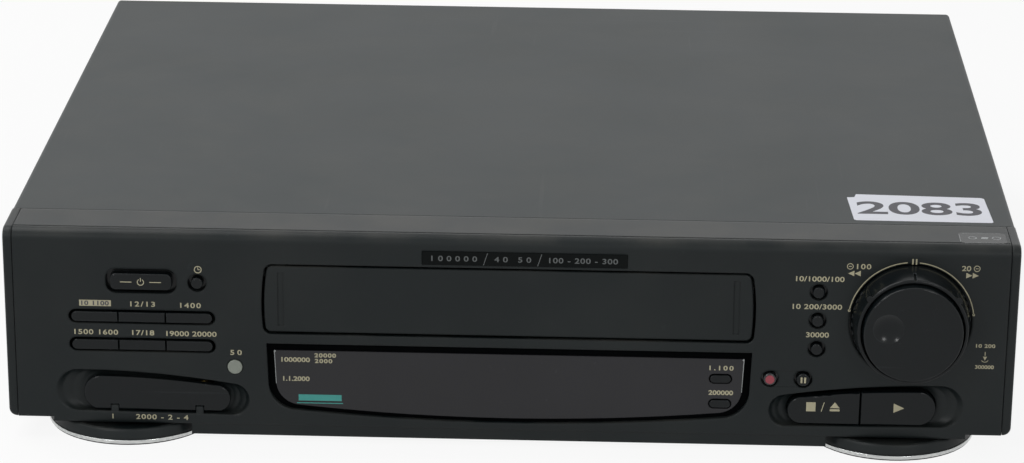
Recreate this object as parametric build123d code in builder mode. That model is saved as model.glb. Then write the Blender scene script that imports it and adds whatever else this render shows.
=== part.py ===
"""Front-loading video cassette recorder, every piece at its real size in millimetres.

X runs along the width, Y from the front face to the back and Z up from the floor.
The origin is under the middle of the whole recorder, on the floor. Depths are given
behind the front face of the panel, and heights above the lower edge of the case.
"""
from math import acos, atan2, cos, degrees, hypot, pi, radians, sin
import os

from build123d import *

os.makedirs("parts", exist_ok=True)

# ------------------------------------------------------------------ case
width = 400.0
depth = 340.0
case_height = 79.2
foot_height = 8.8
dial_proud = 15.3
socket_proud = 8.0
wall = 2.5
sheet = 1.0
plate = 1.2
board = 1.6
seam = 0.25
gap = 0.3
slip = 0.1
screw_shank = 1.5
screw_head = 3.8
screw_head_height = 1.4
screw_reach = 3.0
rear_gap = 0.2

half = width / 2
base = foot_height
top = base + case_height
front_y = (dial_proud - depth - socket_proud) / 2

# ------------------------------------------------------------------ front panel
strip_depth = 25.5
end_cap_width = 3.8
end_cap_corner = 3.2
end_cap_edge = 1.0
top_roll = 4.5
groove_width = 0.6
groove_depth = 0.8
drop = 1.7
drop_margin = 14.2
lip_thickness = 1.9
lip_depth = 20.0
skirt_margin = 26.7
skirt_set_back = 0.6
skirt_drop = 6.3
edge_break = 0.35

# ------------------------------------------------------------------ cassette flap
flap_centre = -0.4
flap_play = 3.1
flap_sink = 13.6
flap_height = 27.5
flap_bow = 1.4
flap_lean = 0.6
flap_corner = 2.4
flap_gap = 1.0
flap_thickness = 2.2
flap_set_back = 0.3
flap_axis_drop = 0.5
flap_axis_inset = 0.1
flap_edge = 0.5
flap_pin = 0.8
flap_pin_length = 5.0
flap_ear = 1.2
flap_ear_length = 5.0
flap_groove_inset = 6.6
flap_groove_width = 2.4
flap_groove_depth = 0.5
flap_groove_margin = 2.6
lug_width = 4.5
lug_depth = 3.0

# ------------------------------------------------------------------ display window
window_half = 96.3
window_gap = 4.9
window_waist = 16.5
window_foot = 5.2
window_sag = 4.1
window_lean = 0.6
window_knee = (3.6, 7.7)
window_corner = 9.8
tile_inset = 2.9
tile_top_inset = 3.2
tile_foot_inset = 1.5
tile_set_back = 1.2
window_thickness = 1.5
window_flange = 2.0
window_flange_low = 0.5
tube_side_margin = 22.3
tube_low = 9.0
tube_top_margin = 4.2
tube_thickness = 6.0
tube_edge = 1.0
tube_nib = 1.6
tube_nib_shift = 1.4
tube_nib_inset = 1.0

# ------------------------------------------------------------------ badge and lamp
badge_left = -34.4
badge_right = 46.2
badge_gap = 2.1
badge_height = 5.5
badge_thickness = 0.8
badge_proud = 0.15
badge_edge = 0.12
lamp_margin = 12.6
lamp_height = 23.0
lamp_radius = 2.95
lamp_proud = 0.5
lamp_length = 9.0
lamp_edge = 0.4
lamp_flange = 1.0

# ------------------------------------------------------------------ push buttons
travel = 0.8
flange_thickness = 1.4
flange_lap = 0.9
dome_lap = 0.4
stem_radius = 1.6
pin_radius = 0.7
pin_reach = 2.2
switch_side = 6.0
switch_height = 5.0
switch_bore_depth = 4.0
board_depth = 14.0

power_margin = 48.55
power_drop = 7.2
power_recess = (28.1, 10.2, 4.0)
power_cap = (24.4, 6.8, 2.2)
power_proud = 1.2
power_edge = 0.72

key_side_margin = 26.2
key_flap_margin = 20.4
key_count = 3
key_split = 0.45
key_recess_height = 5.9
key_cap_height = 4.1
key_recess_margin = 0.95
key_heights = (43.3, 31.5)
key_proud = 0.6
key_edge = 0.42

timer_margin = 26.4
timer_drop = 7.5
timer_recess = 3.7
spare_weights = (16.05, 6.95, 12.4)
set_heights = (59.15, 47.3, 35.4)
set_recess = 3.45
dome_cap = 2.35
dome_proud = 0.9
dome_edge = 0.675

record_margin = 7.3
record_pitch = 13.2
record_height = 22.4
record_recess = 3.4
record_cap = 2.6
pause_recess = 3.6
pause_cap = 2.7
link_half_height = 3.45
link_depth = 0.4

small_margin = 12.2
small_heights = (21.5, 10.9)
small_recess = (9.3, 4.2)
small_cap = (8.3, 3.2)
small_proud = 0.5
small_edge = 0.35

# ------------------------------------------------------------------ scooped bays
bay_side_margin = 15.2
bay_window_gap = 6.7
bay_outer_round = 8.7
bay_inner_round = 6.0
bay_outer_top = 20.8
bay_inner_top = 15.8
bay_mid_top = 19.6
bay_outer_foot = 3.0
bay_inner_foot = 2.3
bay_depth = 4.5
bay_wall = 2.0
bay_rim = 0.7
bay_blend = 3.0
bay_steps = ((0.45, 0.25, 0.25), (0.85, 0.6, 0.6), (1.0, 0.94, 1.0))
slope_outer = 11.2
slope_inner = 8.0
face_round = 6.2
slope_outer_top = 3.0
slope_inner_top = 1.1
slope_mid_top = 2.6
slope_foot = 0.3
face_set_back = 0.4
bay_clearance = 0.45
play_split_shift = -0.5
play_thickness = 3.2
play_wall = 1.6
play_edge = 0.7
door_thickness = 2.4
door_edge = 0.8
knuckle_inset = 12.4
knuckle_width = 3.0
knuckle_radius = 1.15
knuckle_pin = 0.6
knuckle_foot = 0.5

# ------------------------------------------------------------------ front sockets
jack_pitch = 16.5
jack_shift = -1.1
jack_height = 10.2
jack_radius = 4.15
jack_bore = 1.6
jack_front = 5.4
jack_block_depth = 4.6
jack_block_half = 24.0
jack_block_low = 4.0
jack_block_high = 16.4
jack_window_half = 22.5
jack_window_low = 4.6
jack_window_high = 15.2

# ------------------------------------------------------------------ shuttle ring and jog dial
dial_height = 47.6
ring_radius = 23.5
ring_front_radius = 21.7
ring_front = 12.2
ring_edge = 0.7
ring_hole_gap = 0.6
ring_flange = 1.6
ring_flange_thickness = 1.5
ring_notches = 30
ring_notch = 0.55
ring_notch_front = 2.2
ring_notch_back = 1.2
ring_plain_angle = 110.0
ring_bump = 1.3
ring_bump_shift = 0.3
ring_bump_angle = 52.0
ring_bump_back = 1.5
pointer_width = 0.9
pointer_depth = 0.45
pointer_length = 6.0
jog_radius = 19.4
jog_skirt = 0.7
jog_thickness = 6.0
jog_gap = 0.4
jog_edge = 0.6
dimple_x = -9.8
dimple_rise = 2.4
dimple_radius = 6.0
dimple_depth = 1.9
hub_radius = 13.0
hub_web = 4.0
encoder_flange = 2.0
spindle_radius = 3.0
spindle_foot = 2.5

# ------------------------------------------------------------------ feet
foot_margin = 46.5
foot_depth = 27.0
foot_radius = 34.3
foot_top_radius = 32.7
foot_rise = 6.3
foot_dish = 1.3
foot_rim = 1.6
foot_neck = 9.0
foot_neck_shift = 6.0
foot_shoulder = 0.3
foot_lip = (0.3, 0.5)
foot_crown = 0.2
foot_dish_slope = 1.0
pad_edge = 0.55
pad_thickness = 1.0
pad_radius = 33.8
foot_ring_rise = 2.05
foot_ring_inner = 32.2
foot_ring_edge = 0.25
rear_foot_margin = 50.0
rear_foot_inset = 45.0
rear_foot_radius = 11.0

# ------------------------------------------------------------------ cover, chassis, rear panel
cover_bend = 2.0
cover_flange = 9.0
dimple_screw_radius = 5.5
dimple_screw_depth = 1.6
dimple_skin = 1.0
front_screw_depth = 60.0
back_screw_inset = 40.0
side_screw_height = 8.0
rear_screw_margin = 20.0
chassis_inset = 2.9
chassis_flange = 15.0
vent_length = 34.0
vent_width = 3.0
vent_columns = 6
vent_rows = 9
vent_pitch_x = 48.0
vent_pitch_y = 11.0
vent_centre = 175.0

# ------------------------------------------------------------------ boards and rear sockets
board_lift = 4.8
boss_radius = 3.0
boss_side_inset = 10.0
boss_front_inset = 8.0
boss_back_inset = 12.0
board_side_gap = 12.0
board_front = 48.0
board_back = 16.0
board_hole = 5.0
board_split = 4.5
key_board_margin = 10.2
key_board_low = 3.2
key_board_drop = 8.2
post_side_margin = 14.2
post_inner = 107.0
post_heights = (37.0, 50.0, 67.0, 25.0)
display_board_lap = 0.7
display_board_rise = 1.8

scart_spots = (-78.0, -18.0)
scart_width = 50.0
scart_height = 17.0
scart_length = 22.0
scart_cavity = (45.0, 12.0)
scart_cavity_depth = 10.0
scart_slit = 1.0
scart_slit_height = 3.0
scart_slit_depth = 4.0
scart_contacts = 10
scart_pitch = 3.8
scart_corner = 4.0
scart_proud = 1.0
phono_spots = (32.0, 50.0)
phono_height = 10.0
phono_block = (34.0, 17.0, 12.0)
phono_floor = 2.0
collar_width = 2.0
aerial_pitch = 26.0
tuner_side_margin = 16.0
tuner_deck_gap = 8.0
tuner_length = 70.0
tuner_low = 17.0
tuner_high = 47.0
tuner_leg = 4.0
tuner_leg_inset = 2.0
tuner_back_leg = 20.0
aerial_height = 32.0
aerial_radius = 4.8
aerial_bore = 3.6
aerial_pin = 1.2
aerial_pin_drop = 1.0
inlet_margin = 40.0
inlet_height = 30.0
inlet_size = (24.0, 15.0, 22.0)
inlet_flange = 4.0
inlet_lip = 2.0
inlet_proud = 1.5
inlet_lobe = 4.0
inlet_pitch = 8.6
inlet_cavity = 13.0
inlet_pin = 1.15
inlet_pin_drop = 1.5
inlet_web = 0.6
supply_deck_gap = 10.0
supply_margin = 2.0
supply_front = 60.0
supply_back = 250.0
supply_lift = 7.0
post_inset = 5.0
transformer_inset = (12.0, 70.0)
transformer_size = (36.0, 34.0, 30.4)
supply_cans = ((18.0, 30.0, 12.5, 32.4), (44.0, 30.0, 8.0, 24.4))
sink_inset = 6.0
sink_front = 128.0
sink_height = 28.4
sink_plate = 3.0
fin_margin = 8.0
fin_start = 9.0
fin_pitch = 6.5
fin_thickness = 1.5
fin_length = 14.0
chip_height = 3.0
chip_places = ((18.0, 234.0, 30.0, 30.0), (16.0, 174.0, 22.0, 22.0),
               (118.0, 44.0, 30.0, 20.0), (208.0, 34.0, 40.0, 12.0))
can_start = 23.0
can_pitch = 9.0
can_count = 5
can_rows = (200.0, 215.0)
can_radius = 3.2
can_height = 9.0

# ------------------------------------------------------------------ tape deck
deck_lift = 19.2
deck_plate_thickness = 1.5
deck_margin = 20.8
deck_front = 62.0
deck_back_gap = 7.0
leg_radius = 3.5
leg_inset = 7.0
post_end = 1.0
cassette_width = 187.0
cassette_height = 25.0
basket_play = 0.5
basket_front = 34.0
basket_length = 101.0
basket_sink = 1.5
basket_headroom = 2.2
basket_ledge = 14.0
basket_drop = 12.0
strap_width = 15.0
strap_spots = (12.0, 76.0)
slide_travel = 60.0
slider_front = 42.0
slider_length = 66.0
slider_rise = 0.6
bridge_inset = 16.0
bridge_gap = 3.0
slider_play = 0.4
guide_pin = 1.5
guide_slot = 0.2
guide_pin_rise = 5.4
guide_pin_inset = 6.0
lift_pin_rise = 20.4
lift_pin_inset = 20.0
frame_front = 44.0
frame_back = 176.0
frame_rise = 25.4
frame_foot = 9.0

reel_half_spacing = 46.2
reel_depth = 134.0
reel_radius = 20.0
reel_thickness = 4.0
reel_hub = 6.0
reel_hub_height = 14.0
reel_fin = 9.0
reel_fin_width = 1.6
reel_fin_drop = 3.0
reel_fins = 3
post_radius = 2.0
drum_depth = 240.0
drum_radius = 31.0
drum_base = 34.0
drum_base_thickness = 3.5
drum_low_height = 22.5
drum_high_height = 15.0
drum_shaft = 3.0
drum_window = 2.4
drum_windows = 4
drum_edge = 0.8
drum_rotor = 18.0
drum_rotor_height = 4.0
capstan_x = 64.0
capstan_depth = 214.0
capstan_radius = 2.0
capstan_top = 34.0
capstan_boss = 5.0
capstan_boss_height = 10.0
flywheel_radius = 24.0
flywheel_thickness = 5.0
flywheel_gap = 2.6
pinch_pivot_x = 88.0
pinch_pivot_depth = 222.0
pinch_arm_length = 22.0
pinch_arm_width = 5.0
pinch_arm_thickness = 2.4
pinch_arm_lift = 12.0
pinch_roller_radius = 7.5
pinch_roller_height = 14.0
pinch_swing = 35.0
guide_start = 38.0
guide_end = 43.0
guide_first = 188.0
guide_last = 258.0
guide_block = 5.0
guide_block_height = 4.0
guide_post = 3.0
guide_post_height = 24.0
guide_keel = 1.8
guide_keel_reach = 1.0
cam_x = -82.0
cam_inset = 50.0
cam_radius = 19.0
cam_tooth = 1.6
cam_teeth = 40
cam_thickness = 5.0
cam_lift = 14.0
worm_radius = 3.5
worm_length = 20.0
motor_radius = 11.0
motor_length = 28.0
motor_gap = 1.0
motor_clip = 5.0
motor_clip_inset = 4.0

# ------------------------------------------------------------------ worked-out places
flap_half = cassette_width / 2 + flap_play
flap_high = case_height - flap_sink
flap_low = flap_high - flap_height
window_top = flap_low - window_gap
badge_low = flap_high + badge_gap
badge_high = badge_low + badge_height
flap_left = flap_centre - flap_half
flap_right = flap_centre + flap_half
rear_out = depth - sheet - rear_gap
rear_in = rear_out - plate
panel_half = half - end_cap_width
drop_half = panel_half - drop_margin
foot_x = half - foot_margin
skirt_half = foot_x - skirt_margin
rear_foot_x = half - rear_foot_margin
side_screw_depths = (front_screw_depth, depth - back_screw_inset)
rear_screw_spots = (rear_screw_margin - half, 0, half - rear_screw_margin)
tube_half = window_half - tube_side_margin
tube_high = window_top - tube_top_margin
lamp_x = -window_half - lamp_margin
small_x = window_half - small_margin
record_x = window_half + record_margin
pause_x = record_x + record_pitch
power_x = flap_left - power_margin
power_height = flap_high - power_drop
timer_x = flap_left - timer_margin
timer_height = flap_high - timer_drop
key_left = key_side_margin - half
key_right = flap_left - key_flap_margin

# the spare width beside the flap is shared out round the set buttons and the dial
lug_right = flap_right + flap_gap + lug_width
set_reach = set_recess + dome_lap
dial_reach = ring_radius + ring_hole_gap + ring_flange
spare = panel_half - lug_right - 2 * set_reach - 2 * dial_reach
share = spare / sum(spare_weights)
set_x = lug_right + spare_weights[0] * share + set_reach
dial_x = set_x + set_reach + spare_weights[1] * share + dial_reach

bay_outer = panel_half - bay_side_margin
bay_inner = window_half + bay_window_gap
bay_outer_shoulder = bay_outer - bay_outer_round
bay_inner_shoulder = bay_inner + bay_inner_round
face_outer = bay_outer - slope_outer
face_inner = bay_inner + slope_inner
face_outer_shoulder = face_outer - face_round
face_inner_shoulder = face_inner + face_round
face_outer_top = bay_outer_top - slope_outer_top
face_inner_top = bay_inner_top - slope_inner_top
face_mid_top = bay_mid_top - slope_mid_top
face_foot = bay_outer_foot + slope_foot
play_split_x = (face_outer + face_inner) / 2 + play_split_shift
door_x = -(face_outer + face_inner) / 2
knuckle_x = (face_outer - face_inner) / 2 - knuckle_inset
jack_spots = [door_x + jack_shift + i * jack_pitch for i in range(-1, 2)]

board_half = half - board_side_gap
display_board_half = window_half + display_board_lap
display_board_high = window_top + display_board_rise
key_board_inner = display_board_half + board_split
key_board_outer = panel_half - key_board_margin
key_board_high = case_height - key_board_drop
post_outer = panel_half - post_side_margin
board_posts = list(zip((-post_outer, -post_inner, post_inner, post_outer), post_heights))
board_z = base + plate + board_lift
board_top = board_z + board
deck_z = base + deck_lift
deck_top = deck_z + deck_plate_thickness
flange_depth = wall + gap
switch_depth = board_depth - switch_height
stem_end = switch_depth - travel - gap
flap_axis_height = flap_high - flap_axis_drop
flap_axis_depth = flap_set_back + flap_thickness - flap_axis_inset
basket_half = cassette_width / 2 + basket_play
basket_low = flap_low - basket_sink
basket_high = basket_low + 2 * plate + cassette_height + basket_headroom
slider_low = basket_low + slider_rise
slider_high = basket_high + bridge_gap + plate
guide_pin_height = basket_low + guide_pin_rise
lift_pin_height = basket_low + lift_pin_rise
frame_high = basket_low + frame_rise
slider_half = basket_half + plate + slider_play
frame_half = slider_half + plate + slider_play
deck_half = frame_half + deck_margin
deck_back = depth + scart_proud - scart_length - deck_back_gap
cam_depth = deck_back - cam_inset
supply_left = deck_half + supply_deck_gap
supply_right = board_half - supply_margin
tuner_x = -(half - tuner_side_margin + deck_half + tuner_deck_gap) / 2
tuner_half_width = (half - tuner_side_margin - deck_half - tuner_deck_gap) / 2
aerial_spots = (tuner_x - aerial_pitch / 2, tuner_x + aerial_pitch / 2)
inlet_x = half - inlet_margin
hinge_height = face_foot + door_thickness / 2
hinge_depth = face_set_back + door_thickness / 2


# ------------------------------------------------------------------ helpers
def facing(d):
    """Sketch plane parallel to the front face, d behind it, seen from the front."""
    return Plane((0, front_y + d, 0), x_dir=(1, 0, 0), z_dir=(0, -1, 0))


def block(x, d, z, mode=Mode.ADD):
    """Straight block between two values of x, of depth d and of z."""
    with BuildSketch(Plane.XY.offset(z[0])) as outline:
        with Locations(((x[0] + x[1]) / 2, front_y + (d[0] + d[1]) / 2)):
            Rectangle(x[1] - x[0], d[1] - d[0])
    extrude(outline.sketch, amount=z[1] - z[0], mode=mode)


def upright(x, d, radius, z, mode=Mode.ADD):
    """Round bar or hole that stands along Z."""
    with BuildSketch(Plane.XY.offset(z[0])) as outline:
        with Locations((x, front_y + d)):
            Circle(radius)
    extrude(outline.sketch, amount=z[1] - z[0], mode=mode)


def level(x, z, radius, d, mode=Mode.ADD):
    """Round bar or hole that lies along Y."""
    with BuildSketch(facing(d[1])) as outline:
        with Locations((x, z)):
            Circle(radius)
    extrude(outline.sketch, amount=d[1] - d[0], mode=mode)


def across(x, d, z, radius, mode=Mode.ADD):
    """Round bar or hole that lies along X between two values of x."""
    with BuildSketch(Plane.YZ.offset(x[0])) as outline:
        with Locations((front_y + d, z)):
            Circle(radius)
    extrude(outline.sketch, amount=x[1] - x[0], mode=mode)


def push(outline, d, mode=Mode.ADD):
    """Extrude a sketch drawn on facing(d[1]) towards the front, up to d[0]."""
    extrude(outline.sketch, amount=d[1] - d[0], mode=mode)


def rounded(x, z, size):
    """Rounded rectangle in the current sketch, size as width, height, corner."""
    with Locations((x, z)):
        RectangleRounded(size[0], size[1], size[2])


def slot(x, z, size):
    """Slot with round ends in the current sketch, size as width, height."""
    with Locations((x, z)):
        SlotOverall(size[0], size[1])


def finish(builder, label):
    """Name a finished piece and write its file."""
    builder.part.label = label
    export_step(builder.part, f"parts/{label}.step")


def case_side(back, foot):
    """Side view of the case front: front face, rolled top edge and flat top."""
    with BuildLine() as outline:
        Line((front_y, foot), (front_y, top - top_roll))
        RadiusArc((front_y, top - top_roll), (front_y + top_roll, top), top_roll)
        Line((front_y + top_roll, top), (front_y + back, top))
        Line((front_y + back, top), (front_y + back, foot))
        Line((front_y + back, foot), (front_y, foot))
    make_face(outline.edges())


def flap_outline():
    """Outline of the cassette flap: flat top and foot, sides bowed outwards."""
    low = base + flap_low
    high = base + flap_high
    middle = (low + high) / 2
    foot_left = (flap_left + flap_lean, low)
    foot_right = (flap_right - flap_lean, low)
    top_left = (flap_left + flap_bow, high)
    top_right = (flap_right - flap_bow, high)
    with BuildLine() as outline:
        Line(foot_left, foot_right)
        ThreePointArc(foot_right, (flap_right, middle), top_right)
        Line(top_right, top_left)
        ThreePointArc(top_left, (flap_left, middle), foot_left)
    face = make_face(outline.edges())
    fillet(face.vertices(), flap_corner)


def window_outline(side, head, foot):
    """Outline of the display window, drawn in from its recess by the given insets."""
    reach = window_half - side
    waist = base + window_waist
    low = base + window_foot + foot
    knee = waist - window_knee[1] + foot / 2
    side_x = reach - window_lean
    knee_x = reach - window_knee[0]
    corner_x = reach - window_corner
    with BuildLine() as outline:
        Line((-reach, base + window_top - head), (reach, base + window_top - head))
        Line((reach, base + window_top - head), (side_x, waist))
        ThreePointArc((side_x, waist), (knee_x, knee), (corner_x, low))
        ThreePointArc((corner_x, low), (0, low - window_sag), (-corner_x, low))
        ThreePointArc((-corner_x, low), (-knee_x, knee), (-side_x, waist))
        Line((-side_x, waist), (-reach, base + window_top - head))
    make_face(outline.edges())


def bay_outline(share, side, spread=0.0):
    """Tapered pill, share 0 at the rim of the scooped bay and 1 at the piece in it."""
    def between(rim, face):
        return rim + (face - rim) * share

    outer = between(bay_outer, face_outer) + spread
    inner = between(bay_inner, face_inner) - spread
    outer_x = between(bay_outer_shoulder, face_outer_shoulder)
    inner_x = between(bay_inner_shoulder, face_inner_shoulder)
    outer_top = base + between(bay_outer_top, face_outer_top) + spread
    inner_top = base + between(bay_inner_top, face_inner_top) + spread
    middle_top = base + between(bay_mid_top, face_mid_top) + spread
    outer_foot = base + between(bay_outer_foot, face_foot) - spread
    inner_foot = base + between(bay_inner_foot, face_foot) - spread
    with BuildLine() as outline:
        Line((side * outer_x, outer_foot), (side * inner_x, inner_foot))
        ThreePointArc((side * inner_x, inner_foot),
                      (side * inner, (inner_foot + inner_top) / 2),
                      (side * inner_x, inner_top))
        ThreePointArc((side * inner_x, inner_top),
                      (side * (inner_x + outer_x) / 2, middle_top),
                      (side * outer_x, outer_top))
        ThreePointArc((side * outer_x, outer_top),
                      (side * outer, (outer_foot + outer_top) / 2),
                      (side * outer_x, outer_foot))
    face = make_face(outline.edges())
    fillet(face.vertices(), bay_blend)


def key_places():
    """Centre and width of each key of a row, from left to right."""
    pitch = (key_right - key_left) / key_count
    return [(key_left + pitch * (i + 0.5), pitch - key_split) for i in range(key_count)]


# ------------------------------------------------------------------ buttons
def back_of_button(x, z, flange):
    """Flange behind the panel, stem, and pin that runs in the bore of the switch."""
    with BuildSketch(facing(flange_depth + flange_thickness)) as collar:
        with Locations((x, z)):
            Rectangle(flange[0], flange[1])
    push(collar, (flange_depth, flange_depth + flange_thickness))
    level(x, z, stem_radius, (flange_depth, stem_end))
    level(x, z, pin_radius, (stem_end, switch_depth + pin_reach))


def dome_button(label, x, height, cap, recess):
    """Round button with a domed face."""
    z = base + height
    with BuildPart() as button:
        level(x, z, cap, (-dome_proud, flange_depth))
        rim = button.faces().sort_by(Axis.Y)[0].edges()
        fillet(rim, dome_edge)
        back_of_button(x, z, (2 * (recess + dome_lap), 2 * (recess + dome_lap)))
    finish(button, label)


def power_button():
    """Wide button with soft corners at the top left."""
    z = base + power_height
    with BuildPart() as button:
        with BuildSketch(facing(flange_depth)) as cap:
            rounded(power_x, z, power_cap)
        push(cap, (-power_proud, flange_depth))
        fillet(button.faces().sort_by(Axis.Y)[0].edges(), power_edge)
        lap = 2 * flange_lap
        back_of_button(power_x, z, (power_recess[0] + lap, power_recess[1] + lap))
    finish(button, "power_button")


def row_key(label, index, height):
    """One of three bar keys that share a slot, the end ones with a round end."""
    z = base + height
    x, cap_width = key_places()[index]
    with BuildPart() as button:
        with BuildSketch(facing(flange_depth)) as cap:
            slot((key_left + key_right) / 2, z,
                 (key_right - key_left - key_split, key_cap_height))
            with Locations((x, z)):
                Rectangle(cap_width, key_cap_height, mode=Mode.INTERSECT)
        push(cap, (-key_proud, flange_depth))
        fillet(button.faces().sort_by(Axis.Y)[0].edges(), key_edge)
        back_of_button(x, z, (cap_width - 4 * key_split,
                              key_recess_height + 2 * flange_lap))
    finish(button, label)


def window_button(label, height):
    """Oblong button that stands in the display window."""
    z = base + height
    with BuildPart() as button:
        root = wall + window_thickness + gap
        with BuildSketch(facing(root)) as cap:
            slot(small_x, z, small_cap)
        push(cap, (tile_set_back - small_proud, root))
        fillet(button.faces().sort_by(Axis.Y)[0].edges(), small_edge)
        with BuildSketch(facing(root + flange_thickness)) as collar:
            slot(small_x, z, (small_recess[0] + flange_lap, small_recess[1] + flange_lap))
        push(collar, (root, root + flange_thickness))
        level(small_x, z, stem_radius, (root, stem_end))
        level(small_x, z, pin_radius, (stem_end, switch_depth + pin_reach))
    finish(button, label)


def play_key(label, limits, switch_x):
    """One of the two wide keys in the scooped bay on the right."""
    z = base + (face_foot + face_mid_top) / 2
    with BuildPart() as button:
        hollow_back = bay_depth + bay_wall + gap
        with BuildSketch(facing(hollow_back)) as cap:
            bay_outline(1.0, 1)
            with Locations(((limits[0] + limits[1]) / 2, z)):
                Rectangle(limits[1] - limits[0], case_height / 2, mode=Mode.INTERSECT)
        push(cap, (face_set_back, hollow_back))
        fillet(button.faces().sort_by(Axis.Y)[0].edges(), play_edge)
        with BuildSketch(facing(hollow_back)) as hollow:
            bay_outline(1.0, 1, -play_wall)
            with Locations(((limits[0] + limits[1]) / 2, z)):
                Rectangle(limits[1] - limits[0] - 2 * play_wall, case_height / 2,
                          mode=Mode.INTERSECT)
        push(hollow, (face_set_back + play_thickness, hollow_back), Mode.SUBTRACT)
        level(switch_x, z, stem_radius, (face_set_back + play_thickness, stem_end))
        level(switch_x, z, pin_radius, (stem_end, switch_depth + pin_reach))
    finish(button, label)


stop_switch_x = (face_inner + play_split_x) / 2
play_switch_x = (face_outer + play_split_x) / 2
play_switch_height = (face_foot + face_mid_top) / 2

power_button()
dome_button("timer_button", timer_x, timer_height, dome_cap, timer_recess)
for row, key_height in enumerate(key_heights):
    for number in range(key_count):
        row_key(f"key_{row * key_count + number + 1}", number, key_height)
for number, set_height in enumerate(set_heights):
    dome_button(f"set_button_{number + 1}", set_x, set_height, dome_cap, set_recess)
dome_button("record_button", record_x, record_height, record_cap, record_recess)
dome_button("pause_button", pause_x, record_height, pause_cap, pause_recess)
for number, small_height in enumerate(small_heights):
    window_button(f"window_button_{number + 1}", small_height)
play_key("stop_eject_key", (0, play_split_x - key_split / 2), stop_switch_x)
play_key("play_key", (play_split_x + key_split / 2, half), play_switch_x)

switch_spots = [(power_x, power_height), (timer_x, timer_height),
                (record_x, record_height), (pause_x, record_height),
                (stop_switch_x, play_switch_height), (play_switch_x, play_switch_height)]
switch_spots += [(x, height) for height in key_heights for x, _ in key_places()]
switch_spots += [(set_x, height) for height in set_heights]
switch_spots += [(small_x, height) for height in small_heights]

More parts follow.
